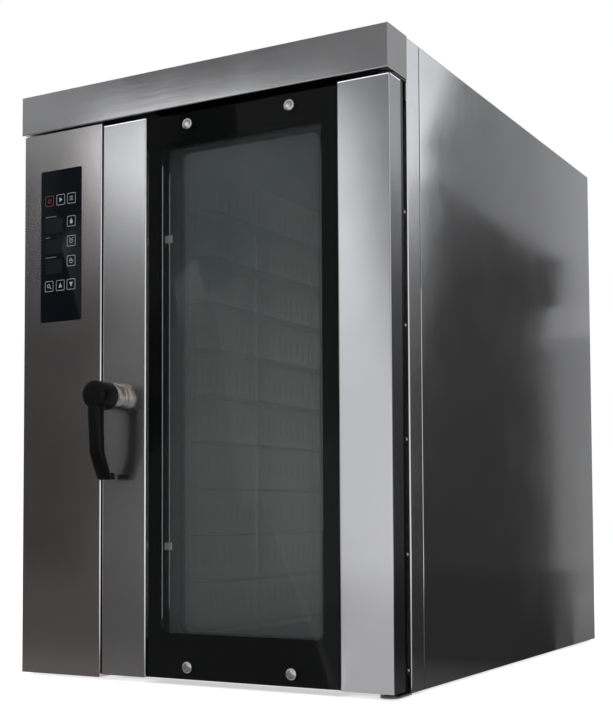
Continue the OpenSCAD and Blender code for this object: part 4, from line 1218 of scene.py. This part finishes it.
@dataclass
class Studio:
    """Camera, lamps, white surroundings and the cards that the steel reflects."""
    lens: float = 63.862
    shift_y: float = 0.1222
    place: Point3 = (1.53916, -2.97875, 0.36415)
    turn: tuple[float, ...] = (29.0871, 2.9616, -0.2665)  # yaw, pitch and roll in degrees
    floor_half: float = 14.0

    def build(self) -> None:
        """Build the whole studio."""
        self.camera()
        self.world()
        self.floor()
        self.lamps()
        self.cards()

    def camera(self) -> None:
        """Place the camera where the photograph was taken from."""
        yaw, pitch, roll = (math.radians(v) for v in self.turn)
        ahead = Vector((-math.sin(yaw) * math.cos(pitch), math.cos(yaw) * math.cos(pitch),
                        math.sin(pitch)))
        right = Vector((math.cos(yaw), math.sin(yaw), 0))
        up = right.cross(ahead)
        side = math.cos(roll) * right + math.sin(roll) * up
        top = -math.sin(roll) * right + math.cos(roll) * up
        data = bpy.data.cameras.new("camera")
        data.lens, data.shift_y = self.lens, self.shift_y
        data.sensor_fit, data.sensor_width = "AUTO", 36.0
        data.clip_start, data.clip_end = 0.05, 60
        cam = linked("camera", data)
        cam.matrix_world = (Matrix.Translation(self.place)
                            @ Matrix((side, top, -ahead)).transposed().to_4x4())
        bpy.context.scene.camera = cam

    def world(self) -> None:
        """White for the camera, gloss and glass; a softer grey light for everything else."""
        g = Graph(bpy.data.worlds.new("studio"))
        sky = g.add("Mix", {0: g.seen(), 6: (0.62, 0.63, 0.65, 1), 7: (1, 1, 1, 1)}, 2, **MIX)
        g.add("OutputWorld", (g.add("Background", (sky,)),))
        bpy.context.scene.world = g.owner

    def floor(self) -> None:
        """Pale floor that keeps the oven's shadow."""
        mesh = bpy.data.meshes.new("floor")
        s = self.floor_half
        mesh.from_pydata([(-s, -s, 0), (s, -s, 0), (s, s, 0), (-s, s, 0)], [], [(0, 1, 2, 3)])
        obj = linked("floor", mesh)
        g = Graph(bpy.data.materials.new("floor"))
        tone = g.add("Mix", {0: g.pattern((0.8, 0.8, 0.8), 2.0), 6: (0.78, 0.78, 0.78, 1),
                             7: (0.82, 0.82, 0.82, 1)}, 2, **MIX)
        glow = g.add("Emission", {"Color": (1, 1, 1, 1),
                                  "Strength": g.add("MapRange", (g.seen(), 0, 1, 0, 0.55))})
        g.add("OutputMaterial", (g.add("AddShader", (g.add("BsdfDiffuse", (tone,)), glow)),))
        mesh.materials.append(g.owner)

    def lamp(self, name: str, place: Point3, aim: Point3, size: tuple[float, float], watts: float,
             glossy: bool = False) -> None:
        """Add one area lamp.

        Args:
            name: its name.
            place: its centre.
            aim: the point that it shines at.
            size: its width and height.
            watts: its power.
            glossy: whether reflections see it.
        """
        data = bpy.data.lights.new(name, "AREA")
        data.shape, data.size, data.size_y, data.energy = "RECTANGLE", size[0], size[1], watts
        obj = linked(name, data)
        obj.location = place
        obj.rotation_euler = (Vector(aim) - Vector(place)).to_track_quat("-Z", "Y").to_euler()
        obj.visible_glossy = glossy
        obj.visible_camera = False

    def lamps(self) -> None:
        """Add a soft key, a fill, a wash from above, and a faint light in the chamber."""
        self.lamp("key", (-2.2, -3.6, 3.0), (0, 0, 0.7), (2.4, 2.0), 60)
        self.lamp("fill", (3.6, -1.6, 2.2), (0, 0, 0.6), (2.0, 2.0), 35)
        self.lamp("top", (0, 0.2, 3.6), (0, 0, 0), (3.0, 3.0), 50)
        self.lamp("chamber_light", (0.16, -0.58, 0.635), (0.0, 0.2, 0.60), (0.3, 1.0), 0.75, True)

    def cards(self) -> None:
        """Add the grey cards that give the steel its light and dark areas."""
        # in front: hood, column, left stile and glass, right stile
        front = (
            Card("front_high", upright(-4.6, (-9, 2.6), (2, 2.6), (2, 6), (-9, 6)),
                 ((-3.9, 0.37), (-3.4, 0.25), (-3.1, 0.09), (-2.5, 0.09), (-2.0, 0.18),
                  (-1.3, 0.25)), Axis.X),
            Card("front_far_left", upright(-4.55, (-9, -0.5), (-3.0, -0.5), (-3.0, 2.69),
                                           (-9, 2.69)),
                 ((0.2, 0.055), (0.8, 0.053), (1.35, 0.06), (1.7, 0.08), (2.2, 0.10),
                  (2.65, 0.14))),
            Card("front_left", upright(-4.5, (-3.22, -0.5), (-2.1, -0.5), (-2.1, 2.68),
                                       (-3.23, 2.68), (-3.18, 2.3), (-3.2, 1.6)),
                 ((0.0, 0.19), (0.45, 0.12), (0.8, 0.10), (1.35, 0.12), (1.7, 0.13), (2.0, 0.40),
                  (2.25, 1.50), (2.5, 2.65))),
            Card("front_right", upright(-4.55, (-2.12, -0.5), (2.5, -0.5), (2.5, 2.68),
                                        (-2.12, 2.68)),
                 ((0.0, 0.90), (1.0, 0.84), (2.1, 1.25))),
            Card("front_right_corner", upright(-4.4, (-1.53, 2.72), (2.5, 2.72), (2.5, 1.1),
                                               (-1.2, 1.1), (-1.38, 1.75)),
                 ((1.1, 0.5), (1.5, 0.32), (2.0, 0.22))),
            Card("floor_left", lying(0.004, (-7, -4.6), (-1.72, -4.6), (0.33, -0.72),
                                     (-7, -0.72)),
                 ((-3.0, 0.10), (-1.4, 0.10), (-0.8, 0.155)), Axis.Y),
            Card("floor_right", lying(0.004, (-1.70, -4.6), (3, -4.6), (3, -0.72),
                                      (0.35, -0.72)),
                 ((-4.6, 0.73), (-3.0, 0.63), (-0.8, 0.60)), Axis.Y))
        # behind, as the right side reflects it
        back = (
            Card("back_wide", upright(5.1, (-1, -0.5), (7, -0.5), (7, 6), (-1, 6)),
                 ((1.75, 0.45), (2.15, 0.29), (2.6, 0.22)), Axis.X),
            Card("back_softbox", upright(5.0, (2.93, -0.5), (7, -0.5), (7, 6), (2.45, 6),
                                         (2.62, 3.6), (2.8, 3.15), (2.93, 2.9)),
                 ((0.0, 0.02), (0.75, 0.035), (1.16, 0.075), (1.57, 0.25), (1.98, 0.54),
                  (2.4, 1.35), (2.8, 1.75), (3.1, 1.2), (3.4, 1.0))),
            Card("back_softbox_shade", upright(4.95, (3.18, -0.5), (7, -0.5), (7, 2.95),
                                               (3.18, 2.95)),
                 ((0.0, 0.15), (0.8, 0.14), (1.3, 0.15), (1.9, 0.08), (2.3, 0.05), (2.6, 0.12),
                  (2.9, 0.9))),
            Card("back_dark", upright(4.9, (2.94, -0.1), (2.94, 2.56), (2.85, 2.70), (2.75, 2.60),
                                      (2.45, 2.34), (2.10, 2.09), (1.91, 1.97), (1.93, 1.69),
                                      (2.01, 1.67), (2.06, 1.47), (2.08, 1.3), (2.04, 0.95),
                                      (2.03, 0.5), (2.02, -0.1)),
                 ((0.0, 0.04), (1.0, 0.044), (1.9, 0.05), (2.3, 0.075), (2.5, 0.09))),
            Card("back_dark_edge", upright(4.95, (2.3, -0.1), (2.3, 1.5), (2.0, 1.4),
                                           (1.99, -0.1)),
                 ((0.0, 0.07), (0.9, 0.10), (1.4, 0.13))),
            Card("back_low", upright(5.05, (-1, -0.5), (2.3, -0.5), (2.3, 1.5), (-1, 1.5)),
                 ((1.75, 0.31), (2.0, 0.25)), Axis.X),
            Card("floor_side_dark", lying(0.005, (0.474, -0.7), (4, -0.7), (4, 4.9), (1.99, 4.9),
                                          (0.474, 0.28)),
                 ((-0.6, 0.085), (-0.3, 0.06), (0.0, 0.030), (4.0, 0.032)), Axis.Y),
            Card("floor_side_edge", lying(0.0045, (0.474, 0.27), (2.0, 4.9), (1.87, 4.9),
                                          (0.474, 0.44)),
                 ((0.5, 0.085), (4.0, 0.10)), Axis.Y),
            Card("floor_side", lying(0.004, (0.474, 0.0), (4, 0.0), (4, 5.06), (0.474, 5.06)),
                 ((0.5, 0.18), (1.2, 0.22), (2.2, 0.27), (4.9, 0.28)), Axis.Y))
        for card in front + back:
            card.build()


def main() -> None:
    """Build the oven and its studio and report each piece."""
    logging.basicConfig(level=logging.INFO)
    bpy.context.scene.view_settings.view_transform = "Standard"
    for assembly in (PackedNodes(), ControlPanel(), DoorGlass(), Handle(), Fasteners(), Seams()):
        for piece in assembly.build():
            LOG.info("%s: %s, %d faces, %s", type(assembly).__name__, piece.name,
                     len(piece.data.polygons), piece.data.materials[0].name)
    Studio().build()
    bpy.context.view_layer.update()


if __name__ == "__main__":
    main()
